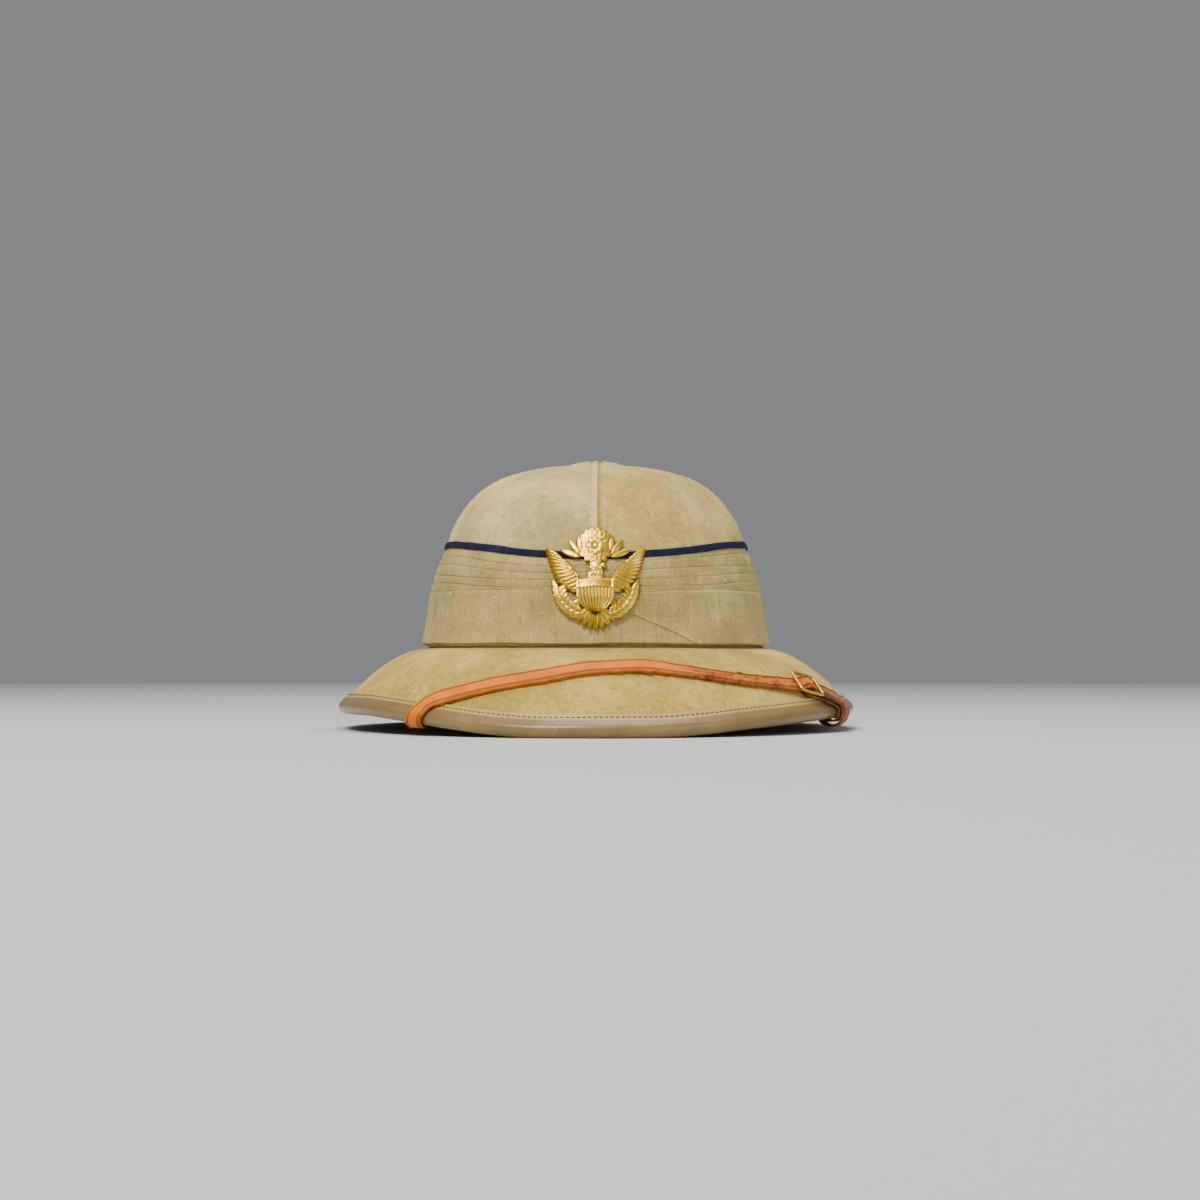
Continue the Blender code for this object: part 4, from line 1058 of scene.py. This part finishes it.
# %% Binding stitches
def binding_stitches():
    """Stitches at even distances round the edge, from its length looked up on a fine table."""
    fine = np.linspace(0, FULL_TURN, 4001)
    run = run_along(edge_frame(fine)[0])
    count = int(run[-1] / BINDING_STITCH_PITCH)
    angles = np.interp(np.arange(count) * run[-1] / count, run, fine)
    centre, down_slope, normal, _ = edge_frame(angles)
    height = STACK / 2 + GAP + BINDING_THICKNESS - 0.00022
    middles = centre - down_slope * BINDING_STITCH_INSET + normal * height
    runs = unit(np.roll(middles, -1, 0) - np.roll(middles, 1, 0))
    return stitches(middles, runs, normal, BINDING_STITCH_SIZE)


make_piece("binding_stitches", binding_stitches(), brown_thread, [], merge=True)

# %% [markdown]
# ## Chin strap
#
# The long strap runs from its rivet inside the crown, under the brim, over the front and through the buckle,
# then round the right-hand edge. The short strap comes from the other rivet and is folded round the buckle's
# bar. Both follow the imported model's path rows: an angle, a place on the helmet's section and a rise.

# %% Strap path
STRAP_WIDTH = 0.0105
STRAP_THICKNESS = 0.0014
SHORT_STRAP_THICKNESS = 0.0010
STRAP_LIFT = 0.0005
STRAP_UNDER_LIFT = 0.0009
ANCHOR_RISE = 0.016
CLIMB_SHARE = 0.3
HANG_PLACE = 3.2
BUCKLE_ANGLE = 53.8
BUCKLE_LENGTH = 0.0160
BUCKLE_WIDTH = 0.0142
BUCKLE_WIRE = 0.0010
BUCKLE_CLEARANCE = 0.0012
SHORT_STRAP_RETURN = 0.0008

# Long strap: degrees from the front, place on the section, share of the rise at the buckle
CHIN_ROWS = [
    (-80.0, 0.15, 0.00), (-79.5, 0.80, 0.00), (-78.5, 1.50, 0.00), (-76.0, 2.15, 0.00), (-66.0, 2.50, 0.00),
    (-50.0, 2.82, 0.00), (-41.5, 3.00, 0.00), (-39.5, 3.50, 0.00), (-38.0, 4.00, 0.00), (-36.5, 4.09, 0.00),
    (-32.0, 4.18, 0.00), (-24.0, 4.30, 0.00), (-12.0, 4.41, 0.05), (0.0, 4.50, 0.08), (11.0, 4.52, 0.10),
    (21.0, 4.458, 0.05), (33.0, 4.35, 0.00), (44.5, 4.272, 0.04), (51.1, 4.222, 0.21), (53.8, 4.187, 1.00),
    (56.4, 4.150, 0.44), (60.0, 4.08, 0.49), (62.6, 4.00, 0.53), (63.6, 3.50, 0.52), (64.0, 3.00, 0.49),
    (65.0, 2.86, 0.47),
]

# Short strap, up to the buckle's bar, with the same columns
SHORT_ROWS = [
    (80.0, 0.15, 0.00), (79.5, 0.80, 0.00), (78.5, 1.50, 0.00), (75.5, 2.20, 0.00), (68.0, 2.62, 0.00),
    (65.0, 2.86, 0.00), (64.0, 3.00, 0.02), (63.6, 3.50, 0.06), (62.6, 4.00, 0.07), (60.0, 4.08, 0.03),
    (56.4, 4.150, 0.00), (54.6, 4.176, 0.00),
]


def section_points(angles, places, lifts):
    """Points and directions out, lifts off the helmet's section. The place's whole part says where it is:

    0 down the crown's inner wall, 1 round its corner, 2 out under the brim, 3 round the rim, 4 in over it.
    """
    centre, down_slope, normal, outward = edge_frame(angles)
    part = np.minimum(places.astype(int), 4)
    f = places - part
    lift = lifts[:, None]

    def oval(radius, inset, heights):
        return together((CROWN_WIDTH / 2 * radius - inset) * np.sin(angles),
                        -CROWN_FORWARD - (CROWN_LENGTH / 2 * radius - inset) * np.cos(angles), heights)

    heights = JUNCTION_HEIGHT + ANCHOR_RISE * (1 - f) - STACK * f
    wall = oval(radius_at_height(heights), STACK + lifts, heights)
    corner = oval(1.0, STACK, JUNCTION_HEIGHT - STACK)
    corner_out = -outward * np.cos(f * math.pi / 2)[:, None] - UP * np.sin(f * math.pi / 2)[:, None]
    rim_out = down_slope * np.sin(math.pi * f)[:, None] - normal * np.cos(math.pi * f)[:, None]
    share = np.where(part == 2, f, 1 - f)
    over_binding = ((RIM_RADIUS - STACK / 2) * ease((share - 1 + CLIMB_SHARE) / CLIMB_SHARE))[:, None]
    brim, brim_out = brim_surface(angles, share)
    options = [
        (wall, -outward),
        (corner + corner_out * lift, corner_out),
        (brim - brim_out * (STACK + lift + over_binding), -brim_out),
        (centre + rim_out * (RIM_RADIUS + lift), rim_out),
        (brim + brim_out * (lift + over_binding), brim_out),
    ]
    chosen = [part[:, None] == number for number in range(5)]
    return np.select(chosen, [o[0] for o in options]), np.select(chosen, [o[1] for o in options])


def softened(line):
    """Each value mixed with its neighbours by the shares 1, 4, 6, 4 and 1 of 16."""
    padded = np.concatenate([line[:1]] * 2 + [line] + [line[-1:]] * 2)
    return sum(weight / 16 * padded[i:i + len(line)] for i, weight in enumerate((1, 4, 6, 4, 1)))


def strap_path(rows, thickness, buckle_rise, count):
    """Middles, directions sideways and directions out of a strap, from a smooth curve through its rows."""
    table = np.array(rows)
    steps = np.linspace(0, len(rows) - 1, count)
    degrees, places, rises = (smooth_curve(np.arange(len(rows)), table[:, c], steps) for c in range(3))
    clear = STRAP_LIFT + (STRAP_UNDER_LIFT - STRAP_LIFT) * ease(HANG_PLACE - places)
    lifts = clear + (buckle_rise - clear) * rises + thickness / 2
    middles, outs = section_points(np.radians(degrees), places, lifts)
    for _ in range(6):
        outs = softened(outs)
        middles[2:-2] = softened(middles)[2:-2]
    runs = unit(np.gradient(middles, axis=0))
    side = unit(np.cross(runs, outs))
    return middles, side, np.cross(side, runs)


# Strap's section: share of the half width, share of the half thickness. Two dips are the tooled lines
STRAP_ROWS = [
    (-0.985, 0.62), (-0.93, 0.92), (-0.82, 1.0), (-0.745, 0.99), (-0.705, 0.62), (-0.66, 0.62), (-0.62, 0.99),
    (-0.40, 1.06), (0.0, 1.1), (0.40, 1.06), (0.62, 0.99), (0.66, 0.62), (0.705, 0.62), (0.745, 0.99),
    (0.82, 1.0), (0.93, 0.92), (0.985, 0.62), (1.0, 0.0), (0.96, -0.75), (0.6, -0.95), (0.0, -1.0),
    (-0.6, -0.95), (-0.96, -0.75), (-1.0, 0.0),
]

# Frays on the long strap: place along X, which edge, reach, half length
FRAYS = [(0.0727, -1, 0.0011, 0.0011), (0.0105, 1, 0.0007, 0.0016), (0.0253, 1, 0.0009, 0.0020),
         (0.0480, -1, 0.0004, 0.0012), (0.0610, 1, 0.0005, 0.0015)]


def strap(path, thickness, seed, width, frays=()):
    """The strap's section carried along its path, and its length. Worn edges curl, fray and waver."""
    middles, side, out = path
    across, rise = np.array(STRAP_ROWS).T
    wear = 0.00016 * ripple(middles, 0.006, seed) + 0.0001 * ripple(middles, 0.0022, seed + 1)
    edge = np.sign(across) * (np.abs(across) > 0.8)
    sideways = across * width[:, None] / 2 + edge * wear[:, None]
    for place, which, reach, half_length in frays:
        pull = reach * np.exp(-((middles[:, :1] - place) / half_length) ** 2)
        sideways = sideways + which * pull * (edge == which)
    curl = 0.00022 * np.abs(across) ** 3 * ripple(middles, 0.011, seed + 2)[:, None]
    lift = rise * thickness / 2 + curl
    rings = middles[:, None] + side[:, None] * sideways[..., None] + out[:, None] * lift[..., None]
    run = run_along(middles)
    flat = together(np.append(across, across[0]) * STRAP_WIDTH / 2, run[:, None])
    return rod(rings[:, ::-1], flat[:, ::-1]), float(run[-1])


# %% Buckle frame
buckle_row = [row[0] for row in CHIN_ROWS].index(BUCKLE_ANGLE)
beside_buckle = CHIN_ROWS[buckle_row - 1:buckle_row + 2]


def buckle_frame():
    """Buckle's middle on the brim, the strap's run there, its sideways direction and its outward one."""
    degrees, places, _ = np.array(beside_buckle).T
    points, outs = section_points(np.radians(degrees), places, 0 * places)
    out = outs[1]
    run = points[2] - points[0]
    run = unit(run - out * float(run @ out))
    return points[1], run, np.cross(run, out), out


fold_radius = BUCKLE_WIRE / 2 + GAP + SHORT_STRAP_THICKNESS / 2
bar_height = STRAP_LIFT + SHORT_STRAP_THICKNESS / 2 + fold_radius
buckle_rise = bar_height + fold_radius + SHORT_STRAP_THICKNESS / 2 + BUCKLE_CLEARANCE
buckle_origin, buckle_run, buckle_across, buckle_out = buckle_frame()

# %% Long strap
DRY_SHRINKAGE = 0.0014
long_path = strap_path(CHIN_ROWS, STRAP_THICKNESS, buckle_rise, 1100)
width = STRAP_WIDTH - DRY_SHRINKAGE * ease((long_path[0][:, 0] - 0.030) / 0.010)
surface, strap_length = strap(long_path, STRAP_THICKNESS, 91, width, FRAYS)
make_piece("long_strap", surface, fresh_leather, ["chin_strap"], merge=True, sharp=50)
print("long strap is", round(1000 * strap_length), "mm long")


# %% Short strap
def short_path():
    """The short strap's path, then half a turn round the buckle's bar and a short return."""
    path = strap_path(SHORT_ROWS, SHORT_STRAP_THICKNESS, buckle_rise, 500)
    turn = np.linspace(0, math.pi, 24)[:, None]
    towards_bar = buckle_run * np.sin(turn) + buckle_out * np.cos(turn)
    loop = buckle_origin + buckle_out * bar_height - towards_bar * fold_radius
    loop = np.concatenate([loop, loop[-1:] + buckle_run * SHORT_STRAP_RETURN])
    side = np.repeat(-buckle_across[None], len(loop), 0)
    out = np.concatenate([towards_bar, -buckle_out[None]])
    return [np.concatenate(both) for both in zip(path, (loop, side, out))]


short_line = short_path()
width = np.full(len(short_line[0]), STRAP_WIDTH)
surface, short_length = strap(short_line, SHORT_STRAP_THICKNESS, 95, width)
make_piece("short_strap", surface, dry_leather, ["buckle_strap"], merge=True, sharp=50)
print("short strap is", round(1000 * short_length), "mm long")


# %% Buckle
FRAME_WIRE = 0.8 * BUCKLE_WIRE
FRAME_CORNER = 9


def round_wire(line, radius, closed):
    """Round rod along a line: each ring lies in the plane of two directions square to the run."""
    if closed:
        runs = unit(np.roll(line, -1, 0) - np.roll(line, 1, 0))
    else:
        runs = unit(np.gradient(line, axis=0))
    first = unit(buckle_out - runs * (runs @ buckle_out)[:, None])
    second = np.cross(runs, first)
    turn = np.linspace(0, FULL_TURN, 14, endpoint=False)[:, None]
    rings = line[:, None] + radius * (first[:, None] * np.cos(turn) + second[:, None] * np.sin(turn))
    flat = np.ones((len(line) + closed, len(turn) + 1, 2))
    return skin(rings, flat, around=True, closed=True) if closed else rod(rings, flat)


def buckle():
    """Flat frame of wire with rounded corners, and a bar across its middle that dips under the strap."""
    over_strap = STRAP_LIFT + STRAP_THICKNESS + BUCKLE_CLEARANCE
    first, last = (over_strap + (buckle_rise - STRAP_LIFT) * row[2] for row in beside_buckle[::2])
    middle_height = (first + last) / 2
    half_width = (BUCKLE_WIDTH - BUCKLE_WIRE) / 2
    along, sideways = rounded(np.linspace(0, FULL_TURN, 240, endpoint=False)[:, None], FRAME_CORNER)
    height = middle_height + (last - first) / 2 * along
    frame_line = buckle_origin + buckle_run * BUCKLE_LENGTH / 2 * along + buckle_out * height
    frame_line += buckle_across * half_width * sideways
    across = np.linspace(-half_width, half_width, 60)[:, None]
    beside_strap = ease((np.abs(across) - STRAP_WIDTH / 2) / (half_width - STRAP_WIDTH / 2))
    height = bar_height + (middle_height - bar_height) * beside_strap
    bar_line = buckle_origin + buckle_across * across + buckle_out * height
    return join([round_wire(frame_line, FRAME_WIRE, True), round_wire(bar_line, BUCKLE_WIRE / 2, False)])


make_piece("strap_buckle", buckle(), plain_brass, ["buckle"], merge=True)

# %% Rivets
RIVET_RADIUS = 0.0038
RIVET_THICKNESS = 0.0012
RIVET_PLACE = 0.014

# Rivet's section: share of its radius, share of its thickness
RIVET_ROWS = [
    (0.0, 0.0), (0.98, 0.0), (1.0, 0.2), (0.97, 0.45), (0.85, 0.75), (0.6, 0.92), (0.3, 0.99), (0.0, 1.0),
]


def rivet(path, thickness):
    """Domed head: circles that shrink towards the top, on the inner side of a strap's end."""
    middles, side, out = path
    spot = int(len(middles) * RIVET_PLACE)
    middle, axis = middles[spot], out[spot]
    first = unit(side[spot] - axis * float(side[spot] @ axis))
    second = np.cross(axis, first)
    turn = np.linspace(0, FULL_TURN, 40, endpoint=False)[:, None]
    circle = first * np.cos(turn) + second * np.sin(turn)
    reach, rise = np.array(RIVET_ROWS).T[:, :, None, None]
    height = thickness / 2 + 0.00012 + rise * RIVET_THICKNESS
    points = middle + circle * reach * RIVET_RADIUS + axis * height
    return skin(points, np.ones((len(RIVET_ROWS), len(turn) + 1, 2)), around=True)


heads = {"left": rivet(long_path, STRAP_THICKNESS), "right": rivet(short_line, SHORT_STRAP_THICKNESS)}
for name, surface in heads.items():
    make_piece("rivet_head_" + name, surface, plain_brass, ["strap_rivet_" + name], merge=True)

# %% [markdown]
# ## Badge
#
# The badge is a gilt casting with high relief: spread wings, leafy sprays, a flower in a scalloped disc, a
# ribbed shield and a tail fan. Each form is a domed shape with its own grooves, drawn flat in shares of the
# badge's half width and half height, and bent onto the crown.

# %% Badge sizes and its seat
BADGE_WIDTH = 0.051
BADGE_HEIGHT = 0.0525
BADGE_CENTRE = 0.0785
BADGE_BACK_LOW = 0.0049
BADGE_BACK_HIGH = 0.0016
BADGE_PLATE = 0.0008
BADGE_RELIEF = 0.0014


def badge_point(x, y, depth):
    """Place on the crown's front from shares of the badge's half width and half height, and a depth.

    The badge's back keeps to the crown above and stands over the band below.
    """
    x = x * BADGE_WIDTH / 2
    height = BADGE_CENTRE + y * BADGE_HEIGHT / 2
    share = ease((height - FOLD_TOP) / (BADGE_CENTRE + BADGE_HEIGHT / 2 - FOLD_TOP))
    lift = BADGE_BACK_LOW + (BADGE_BACK_HIGH - BADGE_BACK_LOW) * share + depth
    radius = radius_at_height(height)
    across = CROWN_WIDTH / 2 * radius + lift
    along = CROWN_LENGTH / 2 * radius + lift
    return together(x, -CROWN_FORWARD - along * np.sqrt(1 - (x / across) ** 2), height)


def heading(degrees):
    """Direction in the badge's plane, turned up from its right."""
    turn = math.radians(degrees)
    return np.array([math.cos(turn), math.sin(turn)])


def relief_pattern(relief, around=False):
    """Pattern that keeps the relief, 0 to 1, so that the finish can darken the hollows with soiling and
    painted shade, and keep the ridges bright as a painted highlight.
    """
    relief = np.concatenate([relief, relief[:, :1]], 1) if around else relief
    return together(relief, 0.0)


# %% Leaves and feathers
# Section of a leaf: share of its half width, share of its relief
LEAF_ROWS = [
    (-1.0, -1.0), (-1.0, 0.0), (-0.94, 0.35), (-0.8, 0.62), (-0.55, 0.85), (-0.25, 0.97), (0.0, 0.80),
    (0.25, 0.97), (0.55, 0.85), (0.8, 0.62), (0.94, 0.35), (1.0, 0.0), (1.0, -1.0), (0.0, -1.0),
]


def leaf(base, tip, width, edge, top, blunt=0.5, bend=0.0, veins=9, tilt=0.0):
    """A leaf from base to tip: a lobe with a grooved dome for a section, and slanting veins.

    The edge says how high its rim stands, and the top how far its middle rises. A tilt raises one side, so
    that leaves in a row lap over each other.
    """
    axis = np.subtract(tip, base)
    across_axis = np.array([-axis[1], axis[0]]) / np.linalg.norm(axis)
    along = np.linspace(0, 1, 20)[:, None]
    half = width / 2 * np.sin(math.pi * along ** (0.75 + 0.3 * blunt)) ** blunt
    across, relief = np.array(LEAF_ROWS).T
    sideways = across * half + bend * np.sin(math.pi * along)
    x, y = (base[side] + axis[side] * along + across_axis[side] * sideways for side in range(2))
    dome = np.sqrt(np.clip(np.sin(math.pi * np.clip(along, 0.04, 0.96)), 0, 1))
    face = relief > 0
    barbs = 0.10 * np.sin(FULL_TURN * (veins * along + 2.2 * np.abs(across))) * (np.abs(across) < 0.9)
    shape = relief + (barbs + tilt * across) * face
    high = BADGE_PLATE * edge + BADGE_RELIEF * (top - edge) * np.clip(shape, 0, 2) * dome
    depth = np.where(relief < 0, 0.0, high)
    return rod(badge_point(x, y, depth), relief_pattern(np.clip(shape, 0, 1) * dome, True))


def mirrored(base, tip, *rest, bend=0.0, tilt=0.0, **more):
    """The same leaf on both sides of the badge."""
    flips = np.array([[1, 1], [-1, 1]])
    return [leaf(flip * base, flip * tip, *rest, bend=flip[0] * bend, tilt=flip[0] * tilt, **more)
            for flip in flips]


# %% Wings
# Wing: share of the way from the shoulder to the tip, inner edge x and y, outer edge x and y
WING_ROWS = [
    (0.00, 0.24, -0.16, 0.50, -0.26), (0.25, 0.30, 0.00, 0.76, -0.10), (0.50, 0.40, 0.14, 0.88, 0.13),
    (0.75, 0.55, 0.28, 0.95, 0.34), (1.00, 0.74, 0.42, 1.00, 0.56),
]

# Feathers in each row: count, share of the wing's depth, width, edge, top
FEATHER_ROWS = [(12, 1.0, 0.125, 0.45, 1.15), (11, 0.66, 0.115, 0.75, 1.40), (10, 0.38, 0.105, 0.95, 1.60)]


def wings():
    """Feathers from the wing's inner edge to its outer one, lapped, under two shorter rows."""
    shares, *edges = np.array(WING_ROWS).T
    parts = []
    for count, reach, width, edge, top in FEATHER_ROWS:
        for share in np.linspace(0, 1, count):
            ends = np.array([np.interp(share, shares, place) for place in edges])
            base, outer = ends[:2], ends[2:]
            tip = base + reach * (outer - base)
            parts += mirrored(base, tip, width, edge, top, blunt=0.38, bend=-0.015, veins=6, tilt=0.45)
    return parts + mirrored((0.20, -0.20), (0.80, 0.47), 0.055, 0.9, 1.7, blunt=0.4, bend=0.045, veins=14)


# %% Sprays, sprigs and tail
def sprays():
    """Leaves in pairs along a bent stem at each side, two sprigs above, and the tail fan below."""
    parts = []
    for f in np.linspace(0, 1, 7):
        stem = 0.62 * heading(-78 + 62 * f) + (0.16, -0.10)
        for lean, reach, width, top in ((-6 + 74 * f, 0.27, 0.14, 1.05), (69 + 74 * f, 0.22, 0.12, 0.95)):
            step = reach * heading(lean)
            parts += mirrored(stem - step * 0.35, stem + step, width, 0.5, top, blunt=0.8, veins=4)
    parts += mirrored((0.24, -0.72), (0.74, -0.26), 0.07, 0.6, 1.0, blunt=0.3, bend=-0.09, veins=1)
    parts += mirrored((0.20, -0.40), (0.60, -0.60), 0.12, 0.6, 0.9, blunt=0.4, veins=6)
    for order, lean in enumerate((20, 52, 84)):
        base = np.array([0.30, 0.40 + 0.04 * order])
        step = (0.44 - 0.05 * order) * heading(lean)
        parts += mirrored(base, base + step, 0.13, 0.5, 1.05, blunt=0.7, veins=5)
    for feather in range(7):
        step = 0.52 * heading(-90 + 16 * (feather - 3))
        root = step * 0.1 + (0.0, -0.48)
        top = 1.0 + 0.1 * (feather % 2)
        parts.append(leaf(root, step + (0.0, -0.48), 0.135, 0.5, top, blunt=0.35, veins=7))
    return parts


# %% Disc, flower, neck and shield
def lobed_disc(centre, radius, lobes, dent, edge, top, ring=0.0):
    """Round form: its rim is a circle with lobes, its height a dome with a ring of bosses."""
    turn = np.linspace(0, FULL_TURN, 112, endpoint=False)[None, :]
    share = np.concatenate([[1.0, 1.0], np.sqrt(np.linspace(1, 0, 26))[1:]])[:, None]
    rim = radius * (1 - dent * (1 - np.abs(np.sin(lobes * turn / 2))))
    x = centre[0] + rim * share * np.sin(turn)
    y = centre[1] + rim * share * np.cos(turn)
    rise = np.sqrt(np.clip(1 - share ** 2, 0, 1))
    bosses = ring * np.cos(lobes * turn) * np.sin(math.pi * share) ** 2
    high = BADGE_PLATE * edge + BADGE_RELIEF * ((top - edge) * rise ** 0.5 + bosses)
    high[0] = 0.0
    # Relief for the finish: dome tops and bosses kept bright as a painted highlight, the rim painted dark
    shine = relief_pattern(np.clip(rise ** 0.5 * (0.75 + 2 * bosses), 0, 1), True)
    return skin(badge_point(x, y, high)[:, ::-1], shine[:, ::-1], around=True)


def shield():
    """Shield that narrows to its foot: a low dome with a border, upright ribs and a plain top."""
    down = np.linspace(0, 1, 40)[:, None]
    across = np.linspace(-1, 1, 61)[None, :]
    x = 0.37 * (1 - np.clip((down - 0.42) / 0.58, 0, 1) ** 2.1) * across
    y = -0.03 - 0.68 * down + 0.04 * (1 - np.abs(across)) * (1 - down)
    inner = 1 - ease((np.abs(across) - 0.84) / 0.08)
    ribs = 0.14 * np.cos(FULL_TURN * 5.5 * across) * inner * ease((down - 0.24) / 0.04)
    border = 0.20 * (1 - inner) + 0.15 * np.exp(-((down - 0.22) / 0.025) ** 2)
    shape = (0.62 + 0.25 * (1 - across ** 2) + ribs + border) * ease(down / 0.02 + 0.4)
    front = badge_point(x, y, BADGE_PLATE + BADGE_RELIEF * shape)
    # Relief for the finish: ribs and border kept bright as a painted highlight, and the relief fading to 0 at
    # the foot, which paints a shadow over the shield's tip
    shine = np.clip(0.62 + 2.6 * ribs + 2.0 * border, 0, 1) * (1 - ease((down - 0.86) / 0.1))
    return slab(front, badge_point(x, y, 0.0), relief_pattern(shine))


def neck():
    """Feathered neck and a small head turned to the right, as rising lapped leaves."""
    parts = [lobed_disc((0.0, 0.02), 0.17, 9, 0.1, 0.9, 1.5, 0.06),
             lobed_disc((-0.02, 0.20), 0.115, 8, 0.1, 1.0, 1.7, 0.05)]
    for shift, height in ((0.0, 0.16), (0.03, 0.06), (0.0, -0.04)):
        for x in (shift - 0.09, shift - 0.03, shift + 0.03, shift + 0.09):
            parts.append(leaf((x, height + 0.12), (x, height - 0.06), 0.075, 1.2, 1.85, veins=3))
    parts.append(leaf((-0.12, 0.27), (0.15, 0.24), 0.17, 1.2, 1.9, blunt=0.45, veins=1))
    parts.append(leaf((0.06, 0.26), (0.235, 0.185), 0.085, 1.2, 1.75, blunt=0.6, bend=0.02, veins=1))
    return parts


def flower_disc():
    """Scalloped disc with a flower of eight petals in its middle."""
    centre = np.array([0.0, 0.63])
    parts = [lobed_disc(centre, 0.37, 16, 0.13, 0.55, 0.95, 0.10),
             lobed_disc(centre, 0.265, 22, 0.05, 0.9, 1.15, 0.10)]
    for degrees in range(0, 360, 45):
        way = heading(degrees)
        parts.append(leaf(centre + 0.03 * way, centre + 0.205 * way, 0.135, 1.0, 1.55, veins=2))
    return parts + [lobed_disc(centre, 0.06, 6, 0.2, 1.4, 2.0)]


parts = wings() + sprays() + flower_disc() + neck() + [shield()]
make_piece("gilt_badge", join(parts), gilt_brass, ["badge"], merge=True, sharp=55)

# %% [markdown]
# ## Picture
#
# The camera stands in front, a little below the middle of the crown, as the picture's does. A pale floor
# carries the helmet, and wide soft lights leave soft shadows under the band and the brim.

# %% Floor
FLOOR_SIZE = 4.0
bpy.ops.mesh.primitive_plane_add(size=FLOOR_SIZE)
floor = bpy.context.object
floor.name = "floor"
paper = Finish("floor_paper", Roughness=0.8, Specular_IOR_Level=0.2)
floor.data.materials.append(paper.show((0.62, 0.63, 0.65)))

# %% Camera
CAMERA_DISTANCE = 1.2
FRAME_WIDTH = 0.661
CAMERA_AIM = (0.0022, 0.0, 0.0701)
CAMERA_PLACE = (0.0022, -1.1996, 0.0387)
camera = bpy.data.objects.new("camera", bpy.data.cameras.new("camera"))
bpy.context.scene.collection.objects.link(camera)
camera.data.angle = 2 * math.atan(FRAME_WIDTH / 2 / CAMERA_DISTANCE)
camera.location = CAMERA_PLACE
pitch = math.atan2(CAMERA_AIM[2] - CAMERA_PLACE[2], CAMERA_AIM[1] - CAMERA_PLACE[1])
camera.rotation_euler = (math.pi / 2 + pitch, 0, 0)
bpy.context.scene.camera = camera


# %% Lights
def soft_light(name, place, size, power, colour):
    """Square area light that faces the helmet's middle."""
    light = bpy.data.lights.new(name, "AREA")
    light.size = size
    light.energy = power
    light.color = colour
    lamp = bpy.data.objects.new(name, light)
    bpy.context.scene.collection.objects.link(lamp)
    lamp.location = place
    across, depth, height = (a - b for a, b in zip((0, 0, 0.07), place))
    lamp.rotation_euler = (math.atan2(math.hypot(across, depth), -height), 0, math.atan2(-across, depth))


soft_light("key", (-0.55, -1.15, 1.55), 0.7, 38, (1.0, 0.97, 0.92))
soft_light("fill", (1.3, -1.2, 0.7), 1.0, 7, (0.95, 0.97, 1.0))
soft_light("top", (0.1, 0.3, 1.7), 0.9, 16, (1.0, 0.99, 0.97))
world = bpy.data.worlds.new("soft_grey")
world.use_nodes = True
world.node_tree.nodes["Background"].inputs["Color"].default_value = (0.80, 0.82, 0.86, 1)
world.node_tree.nodes["Background"].inputs["Strength"].default_value = 0.30
bpy.context.scene.world = world
